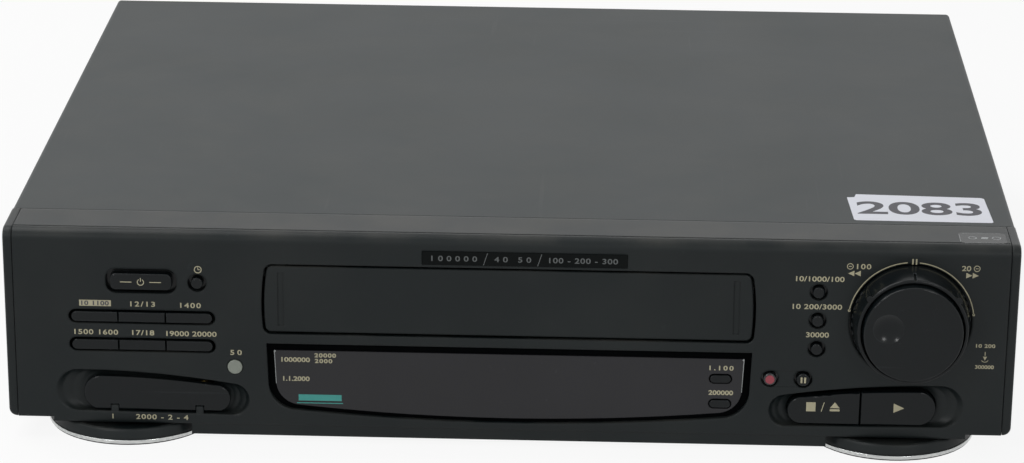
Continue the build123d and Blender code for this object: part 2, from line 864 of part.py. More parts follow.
# ------------------------------------------------------------------ front panel
with BuildPart() as front_panel:
    with BuildSketch(Plane.YZ.offset(-panel_half)) as shell:
        case_side(strip_depth, base)
        with BuildSketch(mode=Mode.SUBTRACT):
            with BuildLine():
                Line((front_y + wall, base + lip_thickness),
                     (front_y + wall, top - top_roll))
                RadiusArc((front_y + wall, top - top_roll),
                          (front_y + top_roll, top - wall), top_roll - wall)
                Line((front_y + top_roll, top - wall), (front_y + strip_depth, top - wall))
                Line((front_y + strip_depth, top - wall),
                     (front_y + strip_depth, base + lip_thickness))
                Line((front_y + strip_depth, base + lip_thickness),
                     (front_y + wall, base + lip_thickness))
            make_face()
    extrude(amount=2 * panel_half)
    fillet(front_panel.edges().filter_by(GeomType.CIRCLE, reverse=True)
           .filter_by(Axis.X).group_by(Axis.Y)[0].group_by(Axis.Z)[0], edge_break)
    block((-drop_half, drop_half), (0, lip_depth), (base - drop, base + lip_thickness))
    block((lip_thickness - drop_half, drop_half - lip_thickness), (wall, lip_depth),
          (base - drop + lip_thickness, base + lip_thickness), Mode.SUBTRACT)
    block((-panel_half, panel_half), (lip_depth, strip_depth),
          (base, base + lip_thickness), Mode.SUBTRACT)
    block((-skirt_half, skirt_half), (skirt_set_back, skirt_set_back + wall),
          (base - skirt_drop, base))
    block((-panel_half, panel_half), (top_roll, top_roll + groove_width),
          (top - groove_depth, top), Mode.SUBTRACT)

    # hollow bosses behind the two scooped bays
    for side in (-1, 1):
        with BuildSketch(facing(bay_depth + bay_wall)) as boss:
            bay_outline(0.0, side, bay_rim)
        push(boss, (wall, bay_depth + bay_wall))
        with BuildSketch(facing(-gap)) as mouth:
            bay_outline(0.0, side)
        steps = [mouth.sketch]
        for depth_share, way_in, play_share in bay_steps:
            with BuildSketch(facing(bay_depth * depth_share)) as step:
                bay_outline(way_in, side, bay_clearance * play_share)
            steps.append(step.sketch)
        loft(steps, ruled=True, mode=Mode.SUBTRACT)
        with BuildSketch(facing(bay_depth + bay_wall)) as opening:
            bay_outline(1.0, side, bay_clearance)
            if side < 0:
                z = base + (jack_window_low + jack_window_high) / 2
                with Locations((door_x, z)):
                    Rectangle(2 * jack_window_half, jack_window_high - jack_window_low,
                              mode=Mode.INTERSECT)
        push(opening, (bay_depth - gap, bay_depth + bay_wall), Mode.SUBTRACT)

    # knuckles for the socket door
    for side in (-1, 1):
        middle_x = door_x + side * knuckle_x
        reach = (middle_x - knuckle_width / 2, middle_x + knuckle_width / 2)
        across(reach, hinge_depth, base + hinge_height, knuckle_radius)
        block(reach, (hinge_depth - knuckle_radius, hinge_depth + knuckle_radius),
              (base + bay_inner_foot - knuckle_foot, base + hinge_height))
        across(reach, hinge_depth, base + hinge_height, knuckle_pin + slip, Mode.SUBTRACT)

    # opening for the cassette flap, with a lug on each side for its pins
    with BuildSketch(facing(wall)) as mouth:
        flap_outline()
        offset(amount=flap_gap, kind=Kind.ARC)
    push(mouth, (-gap, wall), Mode.SUBTRACT)
    for side in (-1, 1):
        near = flap_centre + side * (flap_half - flap_bow + flap_gap)
        far = flap_centre + side * (flap_half + flap_gap + lug_width)
        block(sorted((near, far)), (wall, wall + lug_depth),
              (base + flap_axis_height - lug_width, base + flap_axis_height + lug_depth))
        bore_start = flap_centre + side * (flap_half - flap_bow - flap_corner)
        bore_end = flap_centre + side * (flap_half - flap_bow + flap_pin_length + gap)
        bore = sorted((bore_start, bore_end))
        across(bore, flap_axis_depth, base + flap_axis_height, flap_pin + slip,
               Mode.SUBTRACT)

    # posts for the key boards
    for post_x, post_height in board_posts:
        level(post_x, base + post_height, boss_radius, (wall, board_depth))

    # display window, badge, lamp, buttons and dial
    with BuildSketch(facing(wall)) as holes:
        window_outline(0, 0, 0)
        rounded(power_x, base + power_height, power_recess)
        for key_height in key_heights:
            slot((key_left + key_right) / 2, base + key_height,
                 (key_right - key_left + 2 * key_recess_margin, key_recess_height))
        with Locations((timer_x, base + timer_height)):
            Circle(timer_recess)
        for set_height in set_heights:
            with Locations((set_x, base + set_height)):
                Circle(set_recess)
        with Locations((record_x, base + record_height)):
            Circle(record_recess)
        with Locations((pause_x, base + record_height)):
            Circle(pause_recess)
        with Locations((lamp_x, base + lamp_height)):
            Circle(lamp_radius + slip)
        with Locations((dial_x, base + dial_height)):
            Circle(ring_radius + ring_hole_gap)
    push(holes, (-gap, wall), Mode.SUBTRACT)
    block((badge_left - slip, badge_right + slip), (-gap, badge_thickness - badge_proud),
          (base + badge_low - slip, base + badge_high + slip), Mode.SUBTRACT)
    block((record_x, pause_x), (-gap, link_depth),
          (base + record_height - link_half_height, base + record_height + link_half_height),
          Mode.SUBTRACT)
finish(front_panel, "front_panel")

# ------------------------------------------------------------------ end caps
for side, label in ((-1, "panel_end_cap_left"), (1, "panel_end_cap_right")):
    thickness = end_cap_width - seam
    start = half - thickness if side > 0 else -half
    with BuildPart() as end_cap:
        with BuildSketch(Plane.YZ.offset(start)):
            case_side(strip_depth, base)
        extrude(amount=thickness)
        outer = end_cap.faces().sort_by(Axis.X)[-1 if side > 0 else 0]
        foot = outer.edges().sort_by(Axis.Z)[0]
        fillet(foot, end_cap_corner)
        outer = end_cap.faces().filter_by(Axis.X).sort_by(Axis.X)[-1 if side > 0 else 0]
        fillet(outer.edges().group_by(Axis.Y)[0], end_cap_edge)
    finish(end_cap, label)

# ------------------------------------------------------------------ cassette flap
with BuildPart() as cassette_flap:
    with BuildSketch(facing(flap_set_back + flap_thickness)) as face:
        flap_outline()
    push(face, (flap_set_back, flap_set_back + flap_thickness))
    fillet(cassette_flap.faces().sort_by(Axis.Y)[0].edges(), flap_edge)
    for side in (-1, 1):
        groove = flap_centre + side * (flap_half - flap_groove_inset)
        block((groove - flap_groove_width / 2, groove + flap_groove_width / 2),
              (0, flap_set_back + flap_groove_depth),
              (base + flap_low + flap_groove_margin, base + flap_high - flap_groove_margin),
              Mode.SUBTRACT)
        ear = flap_centre + side * (flap_half - flap_bow - flap_corner - gap)
        inner = ear - side * flap_ear_length
        tip = flap_centre + side * (flap_half - flap_bow + flap_pin_length)
        across(sorted((inner, ear)), flap_axis_depth, base + flap_axis_height, flap_ear)
        across(sorted((inner, tip)), flap_axis_depth, base + flap_axis_height, flap_pin)
finish(cassette_flap, "cassette_flap")

# ------------------------------------------------------------------ display window
with BuildPart() as display_window:
    with BuildSketch(facing(wall + window_thickness)) as flange:
        with Locations((0, base + (window_top + window_flange + window_foot
                                   - window_sag - window_flange_low) / 2)):
            Rectangle(2 * (window_half + window_flange),
                      window_top + window_flange - window_foot + window_sag
                      + window_flange_low)
    push(flange, (wall, wall + window_thickness))
    with BuildSketch(facing(wall + window_thickness)) as tile:
        window_outline(tile_inset, tile_top_inset, tile_foot_inset)
    push(tile, (tile_set_back, wall + window_thickness))
    fillet(display_window.faces().sort_by(Axis.Y)[0].edges(), edge_break)
    with BuildSketch(facing(wall + window_thickness)) as small_holes:
        for small_height in small_heights:
            slot(small_x, base + small_height, small_recess)
    push(small_holes, (tile_set_back, wall + window_thickness), Mode.SUBTRACT)
finish(display_window, "display_window")

with BuildPart() as display_tube:
    block((-tube_half, tube_half), (board_depth - tube_thickness, board_depth),
          (base + tube_low, base + tube_high))
    fillet(display_tube.edges().filter_by(Axis.X).group_by(Axis.Y)[0], tube_edge)
    level(tube_half + tube_nib_shift, base + (tube_low + tube_high) / 2, tube_nib,
          (board_depth - tube_thickness + tube_nib_inset, board_depth - tube_nib_inset))
finish(display_tube, "display_tube")

# ------------------------------------------------------------------ badge strip and lamp
with BuildPart() as badge_strip:
    block((badge_left, badge_right), (-badge_proud, badge_thickness - badge_proud),
          (base + badge_low, base + badge_high))
    fillet(badge_strip.faces().sort_by(Axis.Y)[0].edges(), badge_edge)
finish(badge_strip, "badge_strip")

with BuildPart() as indicator_lens:
    level(lamp_x, base + lamp_height, lamp_radius, (-lamp_proud, lamp_length))
    fillet(indicator_lens.faces().sort_by(Axis.Y)[0].edges(), lamp_edge)
    level(lamp_x, base + lamp_height, lamp_radius + flange_lap,
          (wall + slip, wall + slip + lamp_flange))
    level(lamp_x, base + lamp_height, stem_radius, (lamp_length, board_depth))
finish(indicator_lens, "indicator_lens")

# ------------------------------------------------------------------ socket door
with BuildPart() as av_door:
    with BuildSketch(facing(face_set_back + door_thickness)) as face:
        bay_outline(1.0, -1)
    push(face, (face_set_back, face_set_back + door_thickness))
    fillet(av_door.faces().sort_by(Axis.Y)[0].edges(), door_edge)
    middle_x = door_x
    with BuildSketch(Plane.YZ.offset(-half)) as hinge_round:
        with BuildLine():
            low = base + face_foot - gap
            Line((front_y, low), (front_y + wall + door_thickness, low))
            Line((front_y + wall + door_thickness, low),
                 (front_y + wall + door_thickness, base + hinge_height))
            Line((front_y + wall + door_thickness, base + hinge_height),
                 (front_y, base + hinge_height))
            Line((front_y, base + hinge_height), (front_y, low))
        make_face()
        with Locations((front_y + hinge_depth, base + hinge_height)):
            Circle(door_thickness / 2, mode=Mode.SUBTRACT)
    extrude(hinge_round.sketch, amount=width, mode=Mode.SUBTRACT)
    for side in (-1, 1):
        notch = middle_x + side * knuckle_x
        notch_half = knuckle_width / 2 + gap
        block((notch - notch_half, notch + notch_half), (0, wall + door_thickness),
              (base, base + hinge_height + knuckle_radius + gap), Mode.SUBTRACT)
        across((notch - notch_half, notch + notch_half), hinge_depth,
               base + hinge_height, knuckle_pin)
finish(av_door, "av_door")

with BuildPart() as av_jacks:
    block((door_x - jack_block_half,
           door_x + jack_block_half),
          (board_depth - jack_block_depth, board_depth),
          (base + jack_block_low, base + jack_block_high))
    for jack_x in jack_spots:
        level(jack_x, base + jack_height, jack_radius, (jack_front, board_depth))
        level(jack_x, base + jack_height, jack_bore, (jack_front, board_depth - gap),
              Mode.SUBTRACT)
finish(av_jacks, "av_jacks")

# ------------------------------------------------------------------ shuttle ring and jog dial
dial_z = base + dial_height


def dial_profile(points):
    """Turn a closed profile of (radius, depth) points about the dial axis."""
    with BuildSketch(Plane((dial_x, front_y, dial_z), x_dir=(1, 0, 0),
                           z_dir=(0, 0, 1))) as profile:
        with BuildLine() as outline:
            Polyline(points, close=True)
        make_face(outline.edges())
    revolve(profile.sketch, axis=Axis((dial_x, front_y, dial_z), (0, 1, 0)))


with BuildPart() as shuttle_ring:
    skirt_back = wall + gap + ring_flange_thickness
    bore = jog_radius + jog_skirt + jog_gap
    dial_profile([(hub_radius + slip, skirt_back - hub_web), (bore, skirt_back - hub_web),
                  (bore, -ring_front), (ring_front_radius, -ring_front),
                  (ring_radius, -gap), (ring_radius, wall + gap),
                  (ring_radius + ring_hole_gap + ring_flange, wall + gap),
                  (ring_radius + ring_hole_gap + ring_flange, skirt_back),
                  (hub_radius + slip, skirt_back)])
    lip = shuttle_ring.edges().filter_by(GeomType.CIRCLE).group_by(Axis.Y)[0]
    fillet(lip.sort_by(SortBy.RADIUS)[-1], ring_edge)
    free_angle = 360.0 - ring_plain_angle
    for i in range(ring_notches):
        angle = radians(90 + ring_plain_angle / 2 + free_angle * (i + 0.5) / ring_notches)
        x = dial_x + (ring_radius + ring_notch) * cos(angle)
        z = dial_z + (ring_radius + ring_notch) * sin(angle)
        level(x, z, 2 * ring_notch, (ring_notch_front - ring_front, -ring_notch_back),
              Mode.SUBTRACT)
    for side in (-1, 1):
        angle = radians(90 + side * ring_bump_angle)
        x = dial_x + (ring_front_radius + ring_bump_shift) * cos(angle)
        z = dial_z + (ring_front_radius + ring_bump_shift) * sin(angle)
        level(x, z, ring_bump, (-ring_front, -ring_bump_back))
    block((dial_x - pointer_width / 2, dial_x + pointer_width / 2),
          (-ring_front - gap, pointer_length - ring_front),
          (dial_z + ring_front_radius - pointer_depth, dial_z + ring_radius), Mode.SUBTRACT)
finish(shuttle_ring, "shuttle_ring")

with BuildPart() as jog_dial:
    jog_back = -dial_proud + jog_thickness
    dial_profile([(0, -dial_proud), (jog_radius, -dial_proud),
                  (jog_radius + jog_skirt, jog_back), (spindle_radius, jog_back),
                  (spindle_radius, board_depth - spindle_foot),
                  (0, board_depth - spindle_foot)])
    rim = jog_dial.edges().filter_by(GeomType.CIRCLE).group_by(Axis.Y)[0]
    fillet(rim, jog_edge)
    ball = (dimple_radius ** 2 + dimple_depth ** 2) / (2 * dimple_depth)
    with Locations((dial_x + dimple_x, front_y - dial_proud - ball + dimple_depth,
                    dial_z + dimple_rise)):
        Sphere(ball, mode=Mode.SUBTRACT)
finish(jog_dial, "jog_dial")

with BuildPart() as dial_encoder:
    boss_front = -dial_proud + jog_thickness + gap
    dial_profile([(spindle_radius + slip, boss_front), (hub_radius, boss_front),
                  (hub_radius, skirt_back + gap), (ring_radius, skirt_back + gap),
                  (ring_radius, skirt_back + gap + encoder_flange),
                  (hub_radius, skirt_back + gap + encoder_flange),
                  (hub_radius, board_depth), (spindle_radius + slip, board_depth)])
finish(dial_encoder, "dial_encoder")

# ------------------------------------------------------------------ boards behind the panel
with BuildPart() as front_boards:
    for side in (-1, 1):
        limits = sorted((side * key_board_inner, side * key_board_outer))
        block(limits, (board_depth, board_depth + board),
              (base + key_board_low, base + key_board_high))
    block((-display_board_half, display_board_half), (board_depth, board_depth + board),
          (base - drop + lip_thickness, base + display_board_high))
finish(front_boards, "front_boards")

with BuildPart() as tact_switches:
    for switch_x, switch_z in switch_spots:
        x = (switch_x - switch_side / 2, switch_x + switch_side / 2)
        z = (base + switch_z - switch_side / 2, base + switch_z + switch_side / 2)
        block(x, (switch_depth, board_depth), z)
        level(switch_x, base + switch_z, pin_radius + slip,
              (switch_depth, switch_depth + switch_bore_depth), Mode.SUBTRACT)
finish(tact_switches, "tact_switches")

# ------------------------------------------------------------------ feet
with BuildPart() as front_feet:
    for side in (-1, 1):
        with BuildSketch(Plane((side * foot_x, front_y + foot_depth, 0), x_dir=(1, 0, 0),
                               z_dir=(0, -1, 0))) as profile:
            with BuildLine():
                Polyline([(0, pad_thickness), (foot_ring_inner - slip, pad_thickness),
                          (foot_ring_inner - slip, foot_ring_rise),
                          (foot_radius - foot_shoulder, foot_ring_rise),
                          (foot_top_radius + foot_lip[0], foot_rise - foot_lip[1]),
                          (foot_top_radius - foot_crown, foot_rise),
                          (foot_top_radius - foot_rim, foot_rise - foot_crown),
                          (foot_top_radius - foot_rim - foot_dish_slope,
                           foot_rise - foot_dish),
                          (0, foot_rise - foot_dish)], close=True)
            make_face()
        revolve(profile.sketch, axis=Axis((side * foot_x, front_y + foot_depth, 0), (0, 0, 1)))
        upright(side * foot_x, foot_depth + foot_neck_shift, foot_neck,
                (foot_rise - foot_dish, base))
finish(front_feet, "front_feet")

with BuildPart() as foot_rings:
    for side in (-1, 1):
        upright(side * foot_x, foot_depth, foot_radius, (pad_edge, foot_ring_rise))
        upright(side * foot_x, foot_depth, foot_ring_inner, (pad_edge, foot_ring_rise), Mode.SUBTRACT)
    outer_edges = foot_rings.edges().filter_by(GeomType.CIRCLE)
    fillet(outer_edges.sort_by(SortBy.RADIUS)[-4:], foot_ring_edge)
finish(foot_rings, "foot_rings")

with BuildPart() as rubber_feet:
    for side in (-1, 1):
        upright(side * foot_x, foot_depth, pad_radius, (0, pad_edge))
        upright(side * foot_x, foot_depth, foot_ring_inner - slip, (0, pad_thickness))
        rear_foot_depth = depth - rear_foot_inset
        upright(side * rear_foot_x, rear_foot_depth, rear_foot_radius, (0, base))
finish(rubber_feet, "rubber_feet")

# ------------------------------------------------------------------ top cover
with BuildPart() as top_cover:
    cover_front = strip_depth + gap
    block((-half, half), (cover_front, depth), (base, top))
    fillet(top_cover.edges().filter_by(Axis.Y).group_by(Axis.Z)[-1], cover_bend)
    with BuildSketch(facing(depth - sheet)) as inside:
        with Locations((0, (base + top - sheet) / 2)):
            Rectangle(width - 2 * sheet, case_height - sheet)
        fillet(inside.vertices().group_by(Axis.Y)[-1], cover_bend - sheet)
    push(inside, (cover_front, depth - sheet), Mode.SUBTRACT)
    block((-half + sheet, half - sheet), (depth - sheet, depth),
          (base, top - cover_flange), Mode.SUBTRACT)
    for side in (-1, 1):
        outer = side * half
        skin = side * (half - dimple_screw_depth)
        inner = side * (half - dimple_screw_depth - dimple_skin)
        for screw_depth in side_screw_depths:
            z = base + side_screw_height
            across(sorted((inner, outer)), screw_depth, z, dimple_screw_radius + dimple_skin)
            across(sorted((skin, outer)), screw_depth, z, dimple_screw_radius, Mode.SUBTRACT)
            across(sorted((inner, outer)), screw_depth, z, screw_shank + slip, Mode.SUBTRACT)
    for screw_x in rear_screw_spots:
        level(screw_x, top - cover_flange / 2, screw_shank + slip,
              (depth - sheet, depth), Mode.SUBTRACT)
finish(top_cover, "top_cover")

with BuildPart() as cover_screws:
    for side in (-1, 1):
        seat = side * (half - dimple_screw_depth)
        head = side * (half - dimple_screw_depth + screw_head_height)
        tip = side * (half - chassis_inset - plate - screw_reach)
        for screw_depth in side_screw_depths:
            z = base + side_screw_height
            across(sorted((seat, head)), screw_depth, z, screw_head)
            across(sorted((tip, seat)), screw_depth, z, screw_shank)
    for screw_x in rear_screw_spots:
        z = top - cover_flange / 2
        level(screw_x, z, screw_head, (depth, depth + screw_head_height))
        level(screw_x, z, screw_shank, (rear_in - screw_reach, depth))
finish(cover_screws, "cover_screws")

# ------------------------------------------------------------------ bottom chassis
board_bosses = [(x, d) for x in (boss_side_inset - board_half, 0, board_half - boss_side_inset)
                for d in (board_front + boss_front_inset,
                          depth - board_back - boss_back_inset)]
chassis_half = half - chassis_inset
leg_spots = [(side * (deck_half - leg_inset), d) for side in (-1, 1)
             for d in (deck_front + leg_inset, deck_back - leg_inset)]

with BuildPart() as bottom_chassis:
    chassis_front = lip_depth + gap
    block((gap - panel_half, panel_half - gap), (chassis_front, rear_in), (base, base + plate))
    block((-chassis_half, chassis_half), (strip_depth + gap, rear_in), (base, base + plate))
    for side in (-1, 1):
        limits = sorted((side * (chassis_half - plate), side * chassis_half))
        block(limits, (strip_depth + gap, rear_in), (base, base + chassis_flange))
        for screw_depth in side_screw_depths:
            across(limits, screw_depth, base + side_screw_height, screw_shank + slip,
                   Mode.SUBTRACT)
    with BuildSketch(Plane.XY.offset(base)) as vents:
        with Locations((0, front_y + vent_centre)):
            with GridLocations(vent_pitch_x, vent_pitch_y, vent_columns, vent_rows):
                SlotOverall(vent_length, vent_width)
    extrude(vents.sketch, amount=plate, mode=Mode.SUBTRACT)
    for boss_x, boss_depth in board_bosses:
        upright(boss_x, boss_depth, boss_radius, (base + plate, board_z))
finish(bottom_chassis, "bottom_chassis")

# ------------------------------------------------------------------ rear panel
with BuildPart() as rear_panel:
    block((-half + sheet + gap, half - sheet - gap), (rear_in, rear_out),
          (base, top - sheet - gap))
    with BuildSketch(facing(rear_out)) as cuts:
        for scart_x in scart_spots:
            with Locations((scart_x, board_top + scart_height / 2)):
                Rectangle(scart_width + 2 * slip, scart_height + 2 * slip)
        for phono_x in phono_spots:
            with Locations((phono_x, board_top + phono_height)):
                Circle(jack_radius + collar_width + slip)
        for aerial_x in aerial_spots:
            with Locations((aerial_x, base + aerial_height)):
                Circle(aerial_radius + collar_width + slip)
        with Locations((inlet_x, base + inlet_height)):
            Rectangle(inlet_size[0] + 2 * slip, inlet_size[1] + 2 * slip)
        for screw_x in rear_screw_spots:
            with Locations((screw_x, top - cover_flange / 2)):
                Circle(screw_shank + slip)
    push(cuts, (rear_in, rear_out), Mode.SUBTRACT)
finish(rear_panel, "rear_panel")

with BuildPart() as scart_sockets:
    for scart_x in scart_spots:
        back = depth + scart_proud
        block((scart_x - scart_width / 2, scart_x + scart_width / 2),
              (back - scart_length, back), (board_top, board_top + scart_height))
        with BuildSketch(facing(back)) as cavity:
            with Locations((scart_x, board_top + scart_height / 2)):
                Rectangle(scart_cavity[0], scart_cavity[1])
            chamfer(cavity.vertices().group_by(Axis.X)[0].sort_by(Axis.Y)[-1:], scart_corner)
        push(cavity, (back - scart_cavity_depth, back), Mode.SUBTRACT)
        with BuildSketch(facing(back - scart_cavity_depth)) as slits:
            with Locations((scart_x, board_top + scart_height / 2)):
                with GridLocations(scart_pitch, scart_cavity[1] / 2, scart_contacts, 2):
                    Rectangle(scart_slit, scart_slit_height)
        push(slits, (back - scart_cavity_depth - scart_slit_depth, back - scart_cavity_depth),
             Mode.SUBTRACT)
finish(scart_sockets, "scart_sockets")

with BuildPart() as audio_sockets:
    middle_x = sum(phono_spots) / 2
    block((middle_x - phono_block[0] / 2, middle_x + phono_block[0] / 2),
          (rear_in - phono_block[2], rear_in), (board_top, board_top + phono_block[1]))
    for phono_x in phono_spots:
        level(phono_x, board_top + phono_height, jack_radius + collar_width,
              (rear_in - phono_block[2], depth))
        level(phono_x, board_top + phono_height, jack_radius, (depth, depth + socket_proud))
        level(phono_x, board_top + phono_height, jack_bore,
              (rear_in - phono_block[2] + phono_floor, depth + socket_proud),
              Mode.SUBTRACT)
finish(audio_sockets, "audio_sockets")

with BuildPart() as tuner_module:
    block((tuner_x - tuner_half_width, tuner_x + tuner_half_width),
          (rear_in - tuner_length, rear_in), (base + tuner_low, base + tuner_high))
    for side in (-1, 1):
        edge = tuner_x + side * (tuner_half_width - tuner_leg_inset)
        limits = sorted((edge, edge - side * tuner_leg))
        for back in (rear_in - tuner_length + tuner_leg, rear_in - tuner_back_leg):
            block(limits, (back - tuner_leg, back), (board_top, base + tuner_low))
    for aerial_x in aerial_spots:
        level(aerial_x, base + aerial_height, aerial_radius + collar_width, (rear_in, depth))
        level(aerial_x, base + aerial_height, aerial_radius, (depth, depth + socket_proud))
        level(aerial_x, base + aerial_height, aerial_bore,
              (rear_in, depth + socket_proud), Mode.SUBTRACT)
        level(aerial_x, base + aerial_height, aerial_pin,
              (rear_in, depth + socket_proud - aerial_pin_drop))
finish(tuner_module, "tuner_module")

with BuildPart() as mains_inlet:
    z = base + inlet_height
    inlet_back = rear_out + inlet_proud
    inlet_half = inlet_size[0] / 2
    mouth_half = inlet_lobe - inlet_web
    block((inlet_x - inlet_half, inlet_x + inlet_half), (inlet_back - inlet_size[2], inlet_back),
          (z - inlet_size[1] / 2, z + inlet_size[1] / 2))
    block((inlet_x - inlet_half - inlet_flange, inlet_x + inlet_half + inlet_flange),
          (rear_out, inlet_back),
          (z - inlet_size[1] / 2 - inlet_lip, z + inlet_size[1] / 2 + inlet_lip))
    for side in (-1, 1):
        level(inlet_x + side * inlet_pitch / 2, z, inlet_lobe,
              (inlet_back - inlet_cavity, inlet_back), Mode.SUBTRACT)
    block((inlet_x - inlet_pitch / 2, inlet_x + inlet_pitch / 2),
          (inlet_back - inlet_cavity, inlet_back), (z - mouth_half, z + mouth_half),
          Mode.SUBTRACT)
    for side in (-1, 1):
        level(inlet_x + side * inlet_pitch / 2, z, inlet_pin,
              (inlet_back - inlet_cavity, inlet_back - inlet_pin_drop))
finish(mains_inlet, "mains_inlet")

# ------------------------------------------------------------------ main board and power supply
with BuildPart() as main_board:
    block((-board_half, board_half), (board_front, depth - board_back), (board_z, board_top))
    for leg_x, leg_depth in leg_spots:
        upright(leg_x, leg_depth, board_hole, (board_z, board_top), Mode.SUBTRACT)
    for side_inset, back_inset, chip_width, chip_length in chip_places:
        chip_x = side_inset - board_half
        chip_depth = depth - board_back - back_inset
        block((chip_x, chip_x + chip_width), (chip_depth, chip_depth + chip_length),
              (board_top, board_top + chip_height))
    for i in range(can_count):
        for row in can_rows:
            upright(can_start - board_half + can_pitch * i, row, can_radius,
                    (board_top, board_top + can_height))
finish(main_board, "main_board")

with BuildPart() as power_supply:
    supply_z = board_top + supply_lift
    block((supply_left, supply_right), (supply_front, supply_back), (supply_z, supply_z + board))
    for x in (supply_left + post_inset, supply_right - post_inset):
        for d in (supply_front + post_inset, supply_back - post_inset):
            upright(x, d, boss_radius, (board_top, supply_z))
    parts_z = supply_z + board
    coil_x = supply_left + transformer_inset[0]
    coil_depth = supply_front + transformer_inset[1]
    block((coil_x, coil_x + transformer_size[0]),
          (coil_depth, coil_depth + transformer_size[1]),
          (parts_z, parts_z + transformer_size[2]))
    for can_x, can_depth, radius, height in supply_cans:
        upright(supply_left + can_x, supply_front + can_depth, radius,
                (parts_z, parts_z + height))
    sink_back = supply_front + sink_front + sink_plate
    block((supply_left + sink_inset, supply_right - sink_inset),
          (sink_back - sink_plate, sink_back), (parts_z, parts_z + sink_height))
    fin_room = supply_right - supply_left - fin_start - fin_margin - fin_thickness
    for i in range(int(fin_room / fin_pitch) + 1):
        fin_x = supply_left + fin_start + fin_pitch * i
        block((fin_x, fin_x + fin_thickness), (sink_back, sink_back + fin_length),
              (parts_z, parts_z + sink_height))
finish(power_supply, "power_supply")

# ------------------------------------------------------------------ tape deck plate
guide_run = (guide_end - guide_start, guide_last - guide_first)
guide_turn = degrees(atan2(guide_run[1], guide_run[0]))
guide_travel = hypot(*guide_run)

with BuildPart() as deck_plate:
    block((-deck_half, deck_half), (deck_front, deck_back), (deck_z, deck_top))
    for side in (-1, 1):
        with BuildSketch(Plane.XY.offset(deck_z)) as track:
            middle = Location((side * (guide_start + guide_end) / 2,
                               front_y + (guide_first + guide_last) / 2), side * guide_turn)
            with Locations(middle):
                SlotOverall(guide_travel + 2 * (guide_keel + guide_slot),
                            2 * (guide_keel + guide_slot))
        extrude(track.sketch, amount=deck_plate_thickness, mode=Mode.SUBTRACT)
        upright(side * reel_half_spacing, reel_depth, post_radius,
                (deck_top, deck_top + reel_hub_height))
    upright(capstan_x, capstan_depth, capstan_boss,
            (deck_z, deck_top + capstan_boss_height))
    upright(capstan_x, capstan_depth, capstan_radius + slip,
            (deck_z, deck_top + capstan_boss_height), Mode.SUBTRACT)
    upright(pinch_pivot_x, pinch_pivot_depth, 2 * post_radius,
            (deck_top, deck_top + pinch_arm_lift - slip))
    upright(pinch_pivot_x, pinch_pivot_depth, post_radius,
            (deck_top, deck_top + pinch_arm_lift + pinch_arm_thickness + post_end))
    upright(cam_x, cam_depth, 2 * post_radius, (deck_top, deck_top + cam_lift - slip))
    upright(cam_x, cam_depth, post_radius,
            (deck_top, deck_top + cam_lift + cam_thickness + post_end))
    for leg_x, leg_depth in leg_spots:
        upright(leg_x, leg_depth, leg_radius, (base + plate, deck_z))
finish(deck_plate, "deck_plate")

# ------------------------------------------------------------------ cassette carriage
with BuildPart() as loading_frame:
    for side in (-1, 1):
        limits = sorted((side * frame_half, side * (frame_half + plate)))
        block(limits, (frame_front, frame_back), (deck_top, base + frame_high))
        foot = sorted((side * frame_half, side * (frame_half + frame_foot)))
        block(foot, (deck_front, frame_back), (deck_top, deck_top + plate))
        slot_front = slider_front + guide_pin_inset - guide_pin - guide_slot
        slot_back = (slider_front + slider_length - guide_pin_inset + slide_travel
                     + guide_pin + guide_slot)
        block(limits, (slot_front, slot_back),
              (base + guide_pin_height - guide_pin - guide_slot,
               base + guide_pin_height + guide_pin + guide_slot), Mode.SUBTRACT)
finish(loading_frame, "loading_frame")

with BuildPart() as carriage_slider:
    slider_back = slider_front + slider_length
    for side in (-1, 1):
        limits = sorted((side * slider_half, side * (slider_half + plate)))
        block(limits, (slider_front, slider_back), (base + slider_low, base + slider_high))
        for d in (slider_front + guide_pin_inset, slider_back - guide_pin_inset):
            reach = sorted((side * slider_half, side * (frame_half + plate)))
            across(reach, d, base + guide_pin_height, guide_pin)
        for d in (slider_front + lift_pin_inset, slider_back - lift_pin_inset):
            block(limits, (d - guide_pin - guide_slot, d + guide_pin + guide_slot),
                  (base + lift_pin_height - basket_drop - guide_pin - guide_slot,
                   base + lift_pin_height + guide_pin + guide_slot), Mode.SUBTRACT)
    block((-slider_half - plate, slider_half + plate),
          (slider_front + bridge_inset, slider_back - bridge_inset),
          (base + slider_high - plate, base + slider_high))
finish(carriage_slider, "carriage_slider")

with BuildPart() as cassette_basket:
    basket_back = basket_front + basket_length
    for side in (-1, 1):
        limits = sorted((side * basket_half, side * (basket_half + plate)))
        block(limits, (basket_front, basket_back), (base + basket_low, base + basket_high))
        ledge = sorted((side * (basket_half - basket_ledge), side * (basket_half + plate)))
        block(ledge, (basket_front, basket_back), (base + basket_low, base + basket_low + plate))
        for d in (slider_front + lift_pin_inset, slider_back - lift_pin_inset):
            reach = sorted((side * basket_half, side * (slider_half + plate)))
            across(reach, d, base + lift_pin_height, guide_pin)
    for spot in strap_spots:
        block((-basket_half - plate, basket_half + plate),
              (basket_front + spot, basket_front + spot + strap_width),
              (base + basket_high - plate, base + basket_high))
finish(cassette_basket, "cassette_basket")

# ------------------------------------------------------------------ drum
with BuildPart() as lower_drum:
    low_top = deck_top + drum_low_height
    upright(0, drum_depth, drum_base, (deck_top, deck_top + drum_base_thickness))
    upright(0, drum_depth, drum_radius, (deck_top, low_top))
    upright(0, drum_depth, drum_shaft + slip, (deck_top + drum_base_thickness, low_top),
            Mode.SUBTRACT)
finish(lower_drum, "lower_drum")

